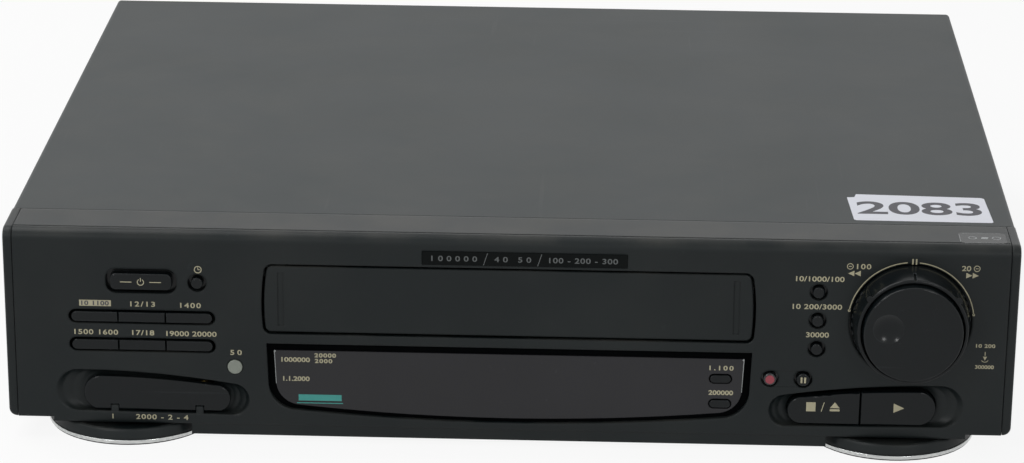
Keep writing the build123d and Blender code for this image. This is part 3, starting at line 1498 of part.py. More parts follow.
with BuildPart() as upper_drum:
    drum_z = low_top + gap
    upright(0, drum_depth, drum_radius, (drum_z, drum_z + drum_high_height))
    fillet(upper_drum.edges().group_by(Axis.Z)[-1], drum_edge)
    upright(0, drum_depth, drum_shaft, (deck_top + drum_base_thickness + gap, drum_z))
    upright(0, drum_depth, drum_rotor,
            (drum_z + drum_high_height, drum_z + drum_high_height + drum_rotor_height))
    for i in range(drum_windows):
        angle = radians(360 * i / drum_windows)
        upright(drum_radius * cos(angle), drum_depth + drum_radius * sin(angle), drum_window,
                (drum_z, drum_z + drum_window), Mode.SUBTRACT)
finish(upper_drum, "upper_drum")

# ------------------------------------------------------------------ reels
for side, label in ((-1, "supply_reel"), (1, "takeup_reel")):
    x = side * reel_half_spacing
    reel_z = deck_top + gap
    hub_top = reel_z + reel_hub_height
    with BuildPart() as reel:
        upright(x, reel_depth, reel_radius, (reel_z, reel_z + reel_thickness))
        upright(x, reel_depth, reel_hub, (reel_z, hub_top))
        for i in range(reel_fins):
            turn = 90 + 360 * i / reel_fins
            angle = radians(turn)
            with BuildSketch(Plane.XY.offset(reel_z + reel_thickness)) as fin:
                middle = Location((x + reel_fin / 2 * cos(angle),
                                   front_y + reel_depth + reel_fin / 2 * sin(angle)),
                                  turn)
                with Locations(middle):
                    Rectangle(reel_fin, reel_fin_width)
            extrude(fin.sketch, amount=reel_hub_height - reel_thickness - reel_fin_drop)
        upright(x, reel_depth, post_radius + slip, (reel_z, hub_top), Mode.SUBTRACT)
    finish(reel, label)

# ------------------------------------------------------------------ capstan and pinch roller
with BuildPart() as capstan:
    flywheel_top = deck_z - flywheel_gap
    upright(capstan_x, capstan_depth, capstan_radius,
            (flywheel_top - flywheel_thickness, deck_top + capstan_top))
    upright(capstan_x, capstan_depth, flywheel_radius,
            (flywheel_top - flywheel_thickness, flywheel_top))
    upright(capstan_x, capstan_depth, capstan_boss, (flywheel_top, deck_z - gap))
finish(capstan, "capstan")

# the roller stops a running gap short of the capstan at the end of the arm's swing
arm_x = capstan_x - pinch_pivot_x
arm_depth = capstan_depth - pinch_pivot_depth
pivot_to_capstan = hypot(arm_x, arm_depth)
closed_distance = pinch_roller_radius + capstan_radius + gap
closed_share = ((pinch_arm_length ** 2 + pivot_to_capstan ** 2 - closed_distance ** 2)
                / (2 * pinch_arm_length * pivot_to_capstan))
closed_angle = degrees(atan2(arm_depth, arm_x)) - degrees(acos(closed_share))
open_angle = radians(closed_angle - pinch_swing)
roller_x = pinch_pivot_x + pinch_arm_length * cos(open_angle)
roller_depth = pinch_pivot_depth + pinch_arm_length * sin(open_angle)
arm_low = deck_top + pinch_arm_lift
arm_high = arm_low + pinch_arm_thickness

with BuildPart() as pinch_arm:
    with BuildSketch(Plane.XY.offset(arm_low)) as bar:
        middle = Location(((pinch_pivot_x + roller_x) / 2,
                           front_y + (pinch_pivot_depth + roller_depth) / 2),
                          degrees(open_angle))
        with Locations(middle):
            SlotOverall(pinch_arm_length + 2 * pinch_arm_width, 2 * pinch_arm_width)
    extrude(bar.sketch, amount=pinch_arm_thickness)
    upright(pinch_pivot_x, pinch_pivot_depth, post_radius + slip, (arm_low, arm_high),
            Mode.SUBTRACT)
    upright(roller_x, roller_depth, post_radius,
            (arm_high, arm_high + pinch_roller_height + 2 * gap))
finish(pinch_arm, "pinch_arm")

with BuildPart() as pinch_roller:
    upright(roller_x, roller_depth, pinch_roller_radius,
            (arm_high + gap, arm_high + gap + pinch_roller_height))
    upright(roller_x, roller_depth, post_radius + slip,
            (arm_high + gap, arm_high + gap + pinch_roller_height), Mode.SUBTRACT)
finish(pinch_roller, "pinch_roller")

# ------------------------------------------------------------------ tape guides
for side, label in ((-1, "supply_guide"), (1, "takeup_guide")):
    x = side * guide_start
    with BuildPart() as guide:
        block((x - guide_block, x + guide_block),
              (guide_first - guide_block, guide_first + guide_block),
              (deck_top + slip, deck_top + slip + guide_block_height))
        upright(x, guide_first, guide_post,
                (deck_top + slip, deck_top + slip + guide_post_height))
        upright(x, guide_first, guide_keel, (deck_z - guide_keel_reach, deck_top + slip))
    finish(guide, label)

# ------------------------------------------------------------------ cam gear and its motor
with BuildPart() as cam_gear:
    cam_z = deck_top + cam_lift
    upright(cam_x, cam_depth, cam_radius - cam_tooth, (cam_z, cam_z + cam_thickness))
    with BuildSketch(Plane.XY.offset(cam_z)) as teeth:
        with Locations((cam_x, front_y + cam_depth)):
            with PolarLocations(cam_radius - cam_tooth, cam_teeth):
                Rectangle(2 * cam_tooth, pi * cam_radius / cam_teeth)
    extrude(teeth.sketch, amount=cam_thickness)
    upright(cam_x, cam_depth, post_radius + slip, (cam_z, cam_z + cam_thickness),
            Mode.SUBTRACT)
finish(cam_gear, "cam_gear")

with BuildPart() as loading_motor:
    motor_x = cam_x - cam_radius - worm_radius - gap
    motor_z = deck_top + cam_lift + cam_thickness / 2
    worm_front = cam_depth - worm_length / 2
    motor_front = cam_depth + cam_radius + motor_gap
    level(motor_x, motor_z, worm_radius, (worm_front, worm_front + worm_length))
    level(motor_x, motor_z, worm_radius / 2, (worm_front, motor_front))
    level(motor_x, motor_z, motor_radius, (motor_front, motor_front + motor_length))
    block((motor_x - motor_clip, motor_x + motor_clip),
          (motor_front + motor_clip_inset, motor_front + motor_length - motor_clip_inset),
          (deck_top, motor_z - motor_radius / 2))
finish(loading_motor, "loading_motor")
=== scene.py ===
# %% [markdown]
# # Dressing a black video cassette recorder
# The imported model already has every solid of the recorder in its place. This lesson gives each of them a
# finish, adds the printed marks, the paper label and the small trims, and lights the whole as in a plain
# studio. Blender works in metres. Flat drawings below are in millimetres, and MM turns one into the other.

# %% Load the frame
import math
import bmesh
import bpy
from mathutils import Matrix, Vector


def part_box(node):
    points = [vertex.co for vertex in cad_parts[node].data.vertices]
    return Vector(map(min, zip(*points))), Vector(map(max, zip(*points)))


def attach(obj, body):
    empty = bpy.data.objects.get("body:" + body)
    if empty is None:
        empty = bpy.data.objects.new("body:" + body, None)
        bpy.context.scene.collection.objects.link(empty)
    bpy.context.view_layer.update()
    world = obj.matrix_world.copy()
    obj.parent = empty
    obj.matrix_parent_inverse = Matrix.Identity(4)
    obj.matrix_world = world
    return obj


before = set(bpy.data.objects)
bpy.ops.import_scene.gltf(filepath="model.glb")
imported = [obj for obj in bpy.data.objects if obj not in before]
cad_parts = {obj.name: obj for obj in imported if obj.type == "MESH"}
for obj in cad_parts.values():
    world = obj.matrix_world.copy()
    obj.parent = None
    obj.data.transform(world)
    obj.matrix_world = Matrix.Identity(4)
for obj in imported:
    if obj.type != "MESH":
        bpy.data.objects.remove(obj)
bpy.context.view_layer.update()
MM = 0.001
print("nodes in the frame:", len(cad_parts))

# %% [markdown]
# ## The camera
# The picture was taken with a long lens from a little above. A camera can be placed by eye, but the
# straight edges of a box give its place away, so the eye point and the three axes come from a fit of the
# box's corners. The shift moves the picture up the film, as a cropped picture needs.

# %% Camera
EYE = Vector((37.659, -1487.507, 545.003)) * MM
RIGHT = Vector((0.99944979, 0.03190146, 0.00907835))
UP = Vector((-0.0197154, 0.3512906, 0.93605888))
LOOK = Vector((-0.0266725, 0.93572283, -0.35172626))
camera_data = bpy.data.cameras.new("studio camera")
camera_data.sensor_width = 36
camera_data.lens = 125.53
camera_data.shift_x = 0.00295
camera_data.shift_y = 0.0992
camera_data.clip_end = 50
camera = bpy.data.objects.new("studio camera", camera_data)
turned = Matrix((RIGHT, UP, -LOOK)).transposed().to_4x4()
camera.matrix_world = Matrix.Translation(EYE) @ turned
bpy.context.scene.collection.objects.link(camera)
bpy.context.scene.camera = camera
bpy.context.scene.view_settings.view_transform = "Standard"
print("camera at", [round(value, 3) for value in EYE])

# %% [markdown]
# ## Colours
# A maker writes a colour as it is read from a picture, from 0 to 255. Blender's shaders want linear
# light, so one helper turns the first into the second.


# %% Colour helper
def colour(red, green, blue):
    """A colour read from a picture, as linear light for a shader."""
    linear = []
    for value in (red, green, blue):
        part = value / 255
        linear.append(part / 12.92 if part <= 0.04045 else ((part + 0.055) / 1.055) ** 2.4)
    return (*linear, 1.0)


print("mid grey in linear light:", round(colour(128, 128, 128)[0], 3))

# %% [markdown]
# ## Effects that many finishes share
# Moulded plastic, painted sheet and plated metal all have a fine grain, edges that catch the light and
# wear first, dust on what faces up, and hairline scuffs. Each of these is a shader node group: it is built
# once and then placed in each finish with that finish's own values. The groups put out only masks, heights
# and normals; the shader itself stays in the material.


# %% Group helper
def new_group(name, inputs, outputs):
    """An empty node group with named number inputs, and outputs that are numbers or vectors."""
    tree = bpy.data.node_groups.new(name, "ShaderNodeTree")
    for label, value in inputs:
        socket = tree.interface.new_socket(name=label, in_out="INPUT", socket_type="NodeSocketFloat")
        socket.default_value = value
    for label, kind in outputs:
        tree.interface.new_socket(name=label, in_out="OUTPUT", socket_type=kind)
    return tree, tree.nodes.new("NodeGroupInput"), tree.nodes.new("NodeGroupOutput")


def add_math(tree, operation, first, second=None, third=None, clamp=False):
    """A Math node whose inputs are sockets or plain numbers; gives its output socket."""
    node = tree.nodes.new("ShaderNodeMath")
    node.operation = operation
    node.use_clamp = clamp
    for index, value in enumerate((first, second, third)):
        if value is None:
            continue
        if isinstance(value, (int, float)):
            node.inputs[index].default_value = value
        else:
            tree.links.new(value, node.inputs[index])
    return node.outputs[0]


def add_noise(tree, scale, detail=2.0, stretch=None, turn=0.0):
    """Noise in the object's own metres; stretch makes it long along an axis. Gives the node."""
    where = tree.nodes.new("ShaderNodeTexCoord").outputs["Object"]
    if stretch is not None:
        mapping = tree.nodes.new("ShaderNodeMapping")
        mapping.inputs["Scale"].default_value = stretch
        mapping.inputs["Rotation"].default_value = (turn, turn, turn)
        tree.links.new(where, mapping.inputs["Vector"])
        where = mapping.outputs["Vector"]
    noise = tree.nodes.new("ShaderNodeTexNoise")
    noise.inputs["Detail"].default_value = detail
    tree.links.new(where, noise.inputs["Vector"])
    if isinstance(scale, (int, float)):
        noise.inputs["Scale"].default_value = scale
    else:
        tree.links.new(scale, noise.inputs["Scale"])
    return noise


def add_range(tree, value, low, high, to_low=0.0, to_high=1.0):
    """A Map Range node from low..high to to_low..to_high, clamped; gives its output socket."""
    node = tree.nodes.new("ShaderNodeMapRange")
    tree.links.new(value, node.inputs["Value"])
    for label, number in (("From Min", low), ("From Max", high), ("To Min", to_low), ("To Max", to_high)):
        node.inputs[label].default_value = number
    return node.outputs["Result"]


print("helpers for node groups are ready")


# %% Grain group
grain_tree, grain_in, grain_out = new_group(
    "fine grain", [("Size", 900.0)], [("Height", "NodeSocketFloat"), ("Tone", "NodeSocketFloat")]
)
pits = add_noise(grain_tree, grain_in.outputs["Size"], 3.0)
cloudy = add_noise(grain_tree, 16.0, 5.0)
grain_tree.links.new(pits.outputs["Fac"], grain_out.inputs["Height"])
grain_tree.links.new(cloudy.outputs["Fac"], grain_out.inputs["Tone"])
print("group:", grain_tree.name)

# %% Edge group
# The edge mask marks worn edges; on the button plastic its light colour also paints highlights on the edges.
edge_tree, edge_in, edge_out = new_group(
    "edge wear and highlight", [("Radius", 0.0004), ("Amount", 0.5)],
    [("Mask", "NodeSocketFloat"), ("Normal", "NodeSocketVector")]
)
rounding = edge_tree.nodes.new("ShaderNodeBevel")
rounding.samples = 4
edge_tree.links.new(edge_in.outputs["Radius"], rounding.inputs["Radius"])
facing = edge_tree.nodes.new("ShaderNodeNewGeometry")
agree = edge_tree.nodes.new("ShaderNodeVectorMath")
agree.operation = "DOT_PRODUCT"
edge_tree.links.new(rounding.outputs["Normal"], agree.inputs[0])
edge_tree.links.new(facing.outputs["Normal"], agree.inputs[1])
turned_away = add_range(edge_tree, agree.outputs["Value"], 0.995, 0.86)
patchy = add_range(edge_tree, add_noise(edge_tree, 90.0, 4.0).outputs["Fac"], 0.4, 0.68)
wear_and_highlight_mask = add_math(edge_tree, "MULTIPLY", turned_away, patchy)
wear_and_highlight_mask = add_math(edge_tree, "MULTIPLY", wear_and_highlight_mask, edge_in.outputs["Amount"], clamp=True)
edge_tree.links.new(wear_and_highlight_mask, edge_out.inputs["Mask"])
edge_tree.links.new(rounding.outputs["Normal"], edge_out.inputs["Normal"])
print("group:", edge_tree.name)

# %% Dust group
dust_tree, dust_in, dust_out = new_group("settled dust", [("Amount", 0.3)], [("Mask", "NodeSocketFloat")])
lie = dust_tree.nodes.new("ShaderNodeNewGeometry")
heights = dust_tree.nodes.new("ShaderNodeSeparateXYZ")
dust_tree.links.new(lie.outputs["Normal"], heights.inputs["Vector"])
upward = add_range(dust_tree, heights.outputs["Z"], 0.3, 0.95, 0.12, 1.0)
film = add_range(dust_tree, add_noise(dust_tree, 34.0, 8.0).outputs["Fac"], 0.42, 0.72)
specks = add_range(dust_tree, add_noise(dust_tree, 1500.0, 1.0).outputs["Fac"], 0.74, 0.8)
settled = add_math(dust_tree, "MULTIPLY_ADD", specks, 0.9, film)
settled = add_math(dust_tree, "MULTIPLY", settled, upward)
settled = add_math(dust_tree, "MULTIPLY", settled, dust_in.outputs["Amount"], clamp=True)
dust_tree.links.new(settled, dust_out.inputs["Mask"])
print("group:", dust_tree.name)

# %% Scuff group
scuff_tree, scuff_in, scuff_out = new_group(
    "hairline scuffs", [("Amount", 0.3)], [("Mask", "NodeSocketFloat")]
)
lines = None
for stretch, turn in (((9, 420, 420), 0.5), ((380, 12, 380), 1.1)):
    hair = add_noise(scuff_tree, 1.0, 1.0, stretch, turn)
    thin = add_range(scuff_tree, hair.outputs["Fac"], 0.73, 0.76)
    lines = thin if lines is None else add_math(scuff_tree, "MAXIMUM", lines, thin)
where_rubbed = add_range(scuff_tree, add_noise(scuff_tree, 11.0, 2.0).outputs["Fac"], 0.45, 0.65)
rubbed = add_math(scuff_tree, "MULTIPLY", lines, where_rubbed)
rubbed = add_math(scuff_tree, "MULTIPLY", rubbed, scuff_in.outputs["Amount"], clamp=True)
scuff_tree.links.new(rubbed, scuff_out.inputs["Mask"])
print("group:", scuff_tree.name)

# %% [markdown]
# ## One way to build a finish
# Every finish starts from the same stack: a base colour that drifts a little, worn edges, scuffs and dust
# over it, a roughness that follows them, and a bump of fine grain on edges rounded by the Bevel node. On the
# button plastic the worn-edge colour is light and strong, and paints highlights along the edges. What
# makes a painted sheet differ from a moulded button is only the numbers. A finish that needs a pattern of
# its own hands in its tone as an extra mask.


# %% Mixing helpers
def place_group(tree, group, **values):
    """The group as a node in a material, with its inputs set."""
    node = tree.nodes.new("ShaderNodeGroup")
    node.node_tree = group
    for label, value in values.items():
        node.inputs[label].default_value = value
    return node


def mix_colour(tree, mask, under, over):
    """Colour under, covered by colour over where mask is 1; each is a socket or a colour."""
    node = tree.nodes.new("ShaderNodeMix")
    node.data_type = "RGBA"
    node.clamp_factor = True
    tree.links.new(mask, node.inputs["Factor"])
    for socket, value in ((node.inputs[6], under), (node.inputs[7], over)):
        if isinstance(value, tuple):
            socket.default_value = value
        else:
            tree.links.new(value, socket)
    return node.outputs[2]


print("helpers for materials are ready")

# %% Finish helper
finishes = {}
DUST_COLOUR = colour(128, 125, 118)
ROUGHNESS_DRIFT = 0.12
DUST_ROUGHENS = 0.35
SCUFF_ROUGHENS = 0.2


def make_finish(name, base, rough, drift=0.25, grain=900.0, bump=0.000015, edge=0.0003, wear=0.3,
                wear_and_highlight_colour=None, dust=0.15, scuffs=0.25, metal=0.0, specular=0.5, coat=0.0,
                pattern=None, other=None):
    """A material made of the shared effects; pattern is a mask that shows the colour other."""
    material = bpy.data.materials.new(name)
    material.use_nodes = True
    tree = material.node_tree
    shader = tree.nodes["Principled BSDF"]
    grained = place_group(tree, grain_tree, Size=grain)
    edged = place_group(tree, edge_tree, Radius=edge, Amount=wear)
    dusty = place_group(tree, dust_tree, Amount=dust)
    scuffed = place_group(tree, scuff_tree, Amount=scuffs)
    lighter = tuple(min(1.0, part * (1 + drift)) for part in base[:3]) + (1.0,)
    darker = tuple(part * (1 - drift) for part in base[:3]) + (1.0,)
    shade = mix_colour(tree, add_range(tree, grained.outputs["Tone"], 0.3, 0.7), darker, lighter)
    if pattern is not None:
        shade = mix_colour(tree, pattern(tree), shade, other)
    # The light colour on the edge mask and the scuffs shows wear, and on the button plastic also paints edge
    # highlights.
    wear_and_highlight_colour = wear_and_highlight_colour or tuple(min(1.0, part * 2.4 + 0.02) for part in base[:3]) + (1.0,)
    shade = mix_colour(tree, edged.outputs["Mask"], shade, wear_and_highlight_colour)
    shade = mix_colour(tree, scuffed.outputs["Mask"], shade, wear_and_highlight_colour)
    shade = mix_colour(tree, dusty.outputs["Mask"], shade, DUST_COLOUR)
    tree.links.new(shade, shader.inputs["Base Color"])
    smoothest = rough - ROUGHNESS_DRIFT / 2
    gloss = add_math(tree, "MULTIPLY_ADD", grained.outputs["Tone"], ROUGHNESS_DRIFT, smoothest)
    gloss = add_math(tree, "MULTIPLY_ADD", dusty.outputs["Mask"], DUST_ROUGHENS, gloss)
    gloss = add_math(tree, "MULTIPLY_ADD", scuffed.outputs["Mask"], SCUFF_ROUGHENS, gloss, clamp=True)
    tree.links.new(gloss, shader.inputs["Roughness"])
    relief = tree.nodes.new("ShaderNodeBump")
    relief.inputs["Distance"].default_value = bump
    relief.inputs["Strength"].default_value = 1.0
    tree.links.new(grained.outputs["Height"], relief.inputs["Height"])
    tree.links.new(edged.outputs["Normal"], relief.inputs["Normal"])
    tree.links.new(relief.outputs["Normal"], shader.inputs["Normal"])
    shader.inputs["Metallic"].default_value = metal
    shader.inputs["Specular IOR Level"].default_value = specular
    shader.inputs["Coat Weight"].default_value = coat
    shader.inputs["Coat Roughness"].default_value = 0.1
    finishes[name] = material
    return material


print("the finish helper is ready")


# %% [markdown]
# ## Patterns of single finishes
# Zinc on steel grows in flat crystals, a brushed or turned metal has lines one way, a circuit board has
# green lacquer over copper tracks, and only the middle of the record button is red. Each is a small mask.


# %% Sheet and board patterns
def crystals(tree):
    """Flat zinc crystals a few millimetres wide."""
    cells = tree.nodes.new("ShaderNodeTexVoronoi")
    cells.inputs["Scale"].default_value = 230
    tree.links.new(tree.nodes.new("ShaderNodeTexCoord").outputs["Object"], cells.inputs["Vector"])
    grey = tree.nodes.new("ShaderNodeRGBToBW")
    tree.links.new(cells.outputs["Color"], grey.inputs["Color"])
    return add_range(tree, grey.outputs["Val"], 0.25, 0.8)


def drawn_lines(tree):
    """Fine lines along the width, from rolling or brushing."""
    return add_range(tree, add_noise(tree, 1.0, 3.0, (14, 1400, 1400)).outputs["Fac"], 0.35, 0.65)


def copper_tracks(tree):
    """Copper tracks under green lacquer, as long bricks with thin joints."""
    bricks = tree.nodes.new("ShaderNodeTexBrick")
    bricks.offset = 0.37
    bricks.inputs["Scale"].default_value = 150
    bricks.inputs["Mortar Size"].default_value = 0.09
    bricks.inputs["Brick Width"].default_value = 1.9
    tree.links.new(tree.nodes.new("ShaderNodeTexCoord").outputs["Object"], bricks.inputs["Vector"])
    return bricks.outputs["Fac"]


print("patterns:", crystals.__name__, drawn_lines.__name__, copper_tracks.__name__)

# %% Record button pattern
RECORD_AXIS = (0.1036, 0.0312)
RED_OUTER = 0.00195
RED_INNER = 0.0016


def red_middle(tree):
    """The red spot in the middle of the record button, by distance from the button's axis."""
    where = tree.nodes.new("ShaderNodeSeparateXYZ")
    tree.links.new(tree.nodes.new("ShaderNodeTexCoord").outputs["Object"], where.inputs["Vector"])
    across = add_math(tree, "POWER", add_math(tree, "SUBTRACT", where.outputs["X"], RECORD_AXIS[0]), 2)
    along = add_math(tree, "POWER", add_math(tree, "SUBTRACT", where.outputs["Z"], RECORD_AXIS[1]), 2)
    away = add_math(tree, "SQRT", add_math(tree, "ADD", across, along))
    return add_range(tree, away, RED_OUTER, RED_INNER)


print("the red spot is", 2 * RED_INNER / MM, "mm wide")

# %% [markdown]
# ## The outside: painted sheet and moulded plastic
# The cover is bent from sheet and sprayed a satin dark grey that has a slight orange peel. The front is a
# dark green-black plastic with a satin skin; its buttons are glossier and its window nearly polished.

# %% Outside finishes
make_finish("case_paint", colour(40, 45, 46), 0.5, drift=0.05, grain=1300, bump=0.00002, edge=0.0006,
            wear=0.35, wear_and_highlight_colour=colour(110, 112, 112), dust=0.06, scuffs=0.1, specular=0.3)
make_finish("panel_plastic", colour(19, 25, 26), 0.36, drift=0.08, grain=2200, bump=0.000005, edge=0.0014,
            wear=0.1, dust=0.14, scuffs=0.12, specular=0.22)
# Painted highlight: the strong edge mask and light edge colour of the button plastic paint bright lines along
# the edges of its parts, besides wear.
make_finish("button_plastic", colour(11, 16, 18), 0.17, drift=0.08, grain=2500, bump=0.000002, edge=0.0005,
            wear=0.55, wear_and_highlight_colour=colour(84, 90, 94), dust=0.03, scuffs=0.1, specular=0.21)
make_finish("record_plastic", colour(22, 25, 27), 0.22, drift=0.08, grain=2500, bump=0.000002, edge=0.0004,
            wear=0.1, dust=0.03, scuffs=0.1, pattern=red_middle, other=colour(150, 52, 66))
make_finish("smoked_window", colour(25, 25, 29), 0.16, drift=0.2, grain=500, bump=0.000001, edge=0.0004,
            wear=0.3, dust=0.03, scuffs=0.2, specular=0.34)
make_finish("badge_plastic", colour(6, 10, 10), 0.2, drift=0.15, grain=700, bump=0.000001, edge=0.0002,
            wear=0.2, dust=0.03, scuffs=0.2, specular=0.08)
make_finish("lamp_plastic", colour(128, 134, 124), 0.3, drift=0.12, grain=420, bump=0.00003, edge=0.0005,
            wear=0.2, dust=0.1, scuffs=0.2, coat=0.3)
make_finish("chrome_ring", colour(200, 202, 200), 0.16, drift=0.06, grain=700, bump=0.000002, edge=0.0002,
            wear=0.2, dust=0.2, scuffs=0.5, metal=1.0, pattern=drawn_lines, other=colour(176, 178, 178))
make_finish("rubber", colour(30, 30, 31), 0.72, drift=0.2, grain=1500, bump=0.00004, edge=0.0005,
            wear=0.3, dust=0.5, scuffs=0.3, specular=0.35)
print("outside finishes:", len(finishes))

# %% [markdown]
# ## The back and the inside: plated steel, cast parts and boards
# A recorder is built on zinc-plated sheet with a steel deck, a turned aluminium drum, white nylon reels and
# green boards. Metals here keep their Metallic value on the shader, and their lines or crystals come from a
# pattern mask, because a metal is told by how its reflection breaks up and not by its colour.

# %% Inside finishes
make_finish("zinc_steel", colour(150, 152, 150), 0.4, drift=0.08, grain=900, bump=0.000006, edge=0.0003,
            wear=0.2, dust=0.3, scuffs=0.4, metal=0.85, pattern=crystals, other=colour(172, 174, 172))
make_finish("deck_steel", colour(168, 166, 160), 0.36, drift=0.06, grain=900, bump=0.000004, edge=0.0002,
            wear=0.2, dust=0.25, scuffs=0.4, metal=0.9, pattern=drawn_lines, other=colour(148, 147, 142))
make_finish("drum_aluminium", colour(205, 206, 208), 0.2, drift=0.04, grain=1500, bump=0.000002, edge=0.0002,
            wear=0.1, dust=0.05, scuffs=0.15, metal=1.0, pattern=drawn_lines, other=colour(188, 190, 193))
make_finish("screw_steel", colour(52, 53, 54), 0.34, drift=0.15, grain=1200, bump=0.000005, edge=0.0002,
            wear=0.9, wear_and_highlight_colour=colour(150, 150, 148), dust=0.2, scuffs=0.4, metal=0.8)
make_finish("socket_metal", colour(178, 160, 112), 0.26, drift=0.1, grain=900, bump=0.000003, edge=0.0002,
            wear=0.3, dust=0.15, scuffs=0.4, metal=0.9)
make_finish("circuit_board", colour(20, 46, 28), 0.38, drift=0.1, grain=900, bump=0.000004, edge=0.0002,
            wear=0.1, dust=0.25, scuffs=0.1, pattern=copper_tracks, other=colour(34, 64, 36), coat=0.2)
make_finish("white_nylon", colour(214, 212, 202), 0.42, drift=0.05, grain=900, bump=0.000006, edge=0.0003,
            wear=0.1, wear_and_highlight_colour=colour(236, 234, 228), dust=0.15, scuffs=0.2)
make_finish("black_moulding", colour(27, 27, 29), 0.4, drift=0.1, grain=1300, bump=0.00001, edge=0.0003,
            wear=0.3, dust=0.3, scuffs=0.3)
glass = make_finish("clear_glass", colour(196, 210, 206), 0.06, drift=0.05, grain=300, bump=0.000001,
                    edge=0.0002, wear=0.05, dust=0.1, scuffs=0.1)
glass.node_tree.nodes["Principled BSDF"].inputs["Transmission Weight"].default_value = 0.85
print("finishes so far:", len(finishes))

# %% [markdown]
# ## Handing the finishes to the solids
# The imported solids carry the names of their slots, so each slot gets the finish of the same name.

# %% Put the finishes on the solids
dressed = 0
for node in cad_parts.values():
    for material_slot in node.material_slots:
        material_slot.material = finishes[material_slot.material.name.split(".")[0]]
        dressed += 1
print("slots dressed:", dressed)

# %% [markdown]
# ## Marks: ink, paper and foil
# The front has cream printing, the window a teal mark and the cover a paper label. Ink is a real layer a
# few hundredths of a millimetre thick, so each mark is a thin raised mesh: it stays sharp from near by and
# goes along with the key that it is printed on.

# %% Mark finishes
for name, ink, rough, drift, bump, wear in (
    ("cream_ink", colour(176, 170, 142), 0.5, 0.12, 0.000004, 0.2),
    ("dark_ink", colour(70, 70, 76), 0.6, 0.12, 0.000003, 0.1),
    ("teal_ink", colour(60, 150, 142), 0.45, 0.12, 0.000003, 0.1),
    ("faded_ink", colour(84, 88, 88), 0.5, 0.08, 0.000003, 0.1),
    ("white_ink", colour(150, 153, 154), 0.5, 0.08, 0.000003, 0.1),
):
    make_finish(name, ink, rough, drift=drift, grain=2500, bump=bump, edge=0.00005, wear=wear, dust=0.05,
                scuffs=0.1)
make_finish("label_paper", colour(226, 228, 236), 0.62, drift=0.025, grain=1400, bump=0.00001, edge=0.0001,
            wear=0.1, wear_and_highlight_colour=colour(236, 236, 238), dust=0.06, scuffs=0.1)
make_finish("grey_foil", colour(26, 30, 31), 0.24, drift=0.08, grain=900, bump=0.000002, edge=0.0001,
            wear=0.2, dust=0.1, scuffs=0.3, specular=0.3)
# Painted shade: a near-black matt finish for the sheet that stands in for the shade inside the window's
# recess.
make_finish("painted_shade_black", colour(3, 4, 5), 0.9, drift=0.3, grain=1800, bump=0.00003, edge=0.0001, wear=0.0,
            dust=0.02, scuffs=0.0, specular=0.03)
# Painted highlight: a light grey glossy colour for the strips that stand in for the glints on the window's
# edges.
make_finish("painted_edge_glint", colour(150, 154, 154), 0.15, drift=0.2, grain=900, bump=0.000002, edge=0.0001,
            wear=0.2, dust=0.05, scuffs=0.1, coat=0.5)
print("finishes in all:", len(finishes))

# %% [markdown]
# ## Drawing flat marks
# A mark is drawn flat, in millimetres, as outlines that are pulled up into thin prisms. A placing matrix
# then lays the drawing on the front, on the top or on the back of the machine.

# %% Placing helpers
INK = 0.05
UNDER = 0.02


def facing_front(depth):
    """Drawing right is machine right and drawing up is up, at that depth, in mm."""
    return Matrix(((MM, 0, 0, 0), (0, 0, -MM, depth * MM), (0, MM, 0, 0), (0, 0, 0, 1)))


def facing_up(height):
    """Drawing up points to the back of the machine."""
    return Matrix(((MM, 0, 0, 0), (0, MM, 0, 0), (0, 0, MM, height * MM), (0, 0, 0, 1)))


def facing_back(depth):
    """Seen from behind, drawing right is machine left."""
    return Matrix(((-MM, 0, 0, 0), (0, 0, MM, depth * MM), (0, MM, 0, 0), (0, 0, 0, 1)))


print("ink is", INK, "mm thick and starts", UNDER, "mm under the surface")


# %% Flat shapes
def prism(mesh, outline, thick=INK):
    """An outline pulled up from just under the surface."""
    lower = [mesh.verts.new((across, up, -UNDER)) for across, up in outline]
    upper = [mesh.verts.new((across, up, thick)) for across, up in outline]
    mesh.faces.new(lower[::-1])
    mesh.faces.new(upper)
    for index in range(len(outline)):
        mesh.faces.new((lower[index - 1], lower[index], upper[index], upper[index - 1]))


def block(mesh, across, up, width, height, slant=0.0, thick=INK):
    """A rectangle round its middle; slant leans its top to the right."""
    half, tall = width / 2, height / 2
    prism(mesh, [(across - half - slant, up - tall), (across + half - slant, up - tall),
                 (across + half + slant, up + tall), (across - half + slant, up + tall)], thick)


def wedge(mesh, across, up, width, height, turn=0):
    """A triangle that points right, turned by so many degrees."""
    corners = [(-width / 2, -height / 2), (width / 2, 0), (-width / 2, height / 2)]
    angle = math.radians(turn)
    prism(mesh, [(across + a * math.cos(angle) - b * math.sin(angle),
                  up + a * math.sin(angle) + b * math.cos(angle)) for a, b in corners])


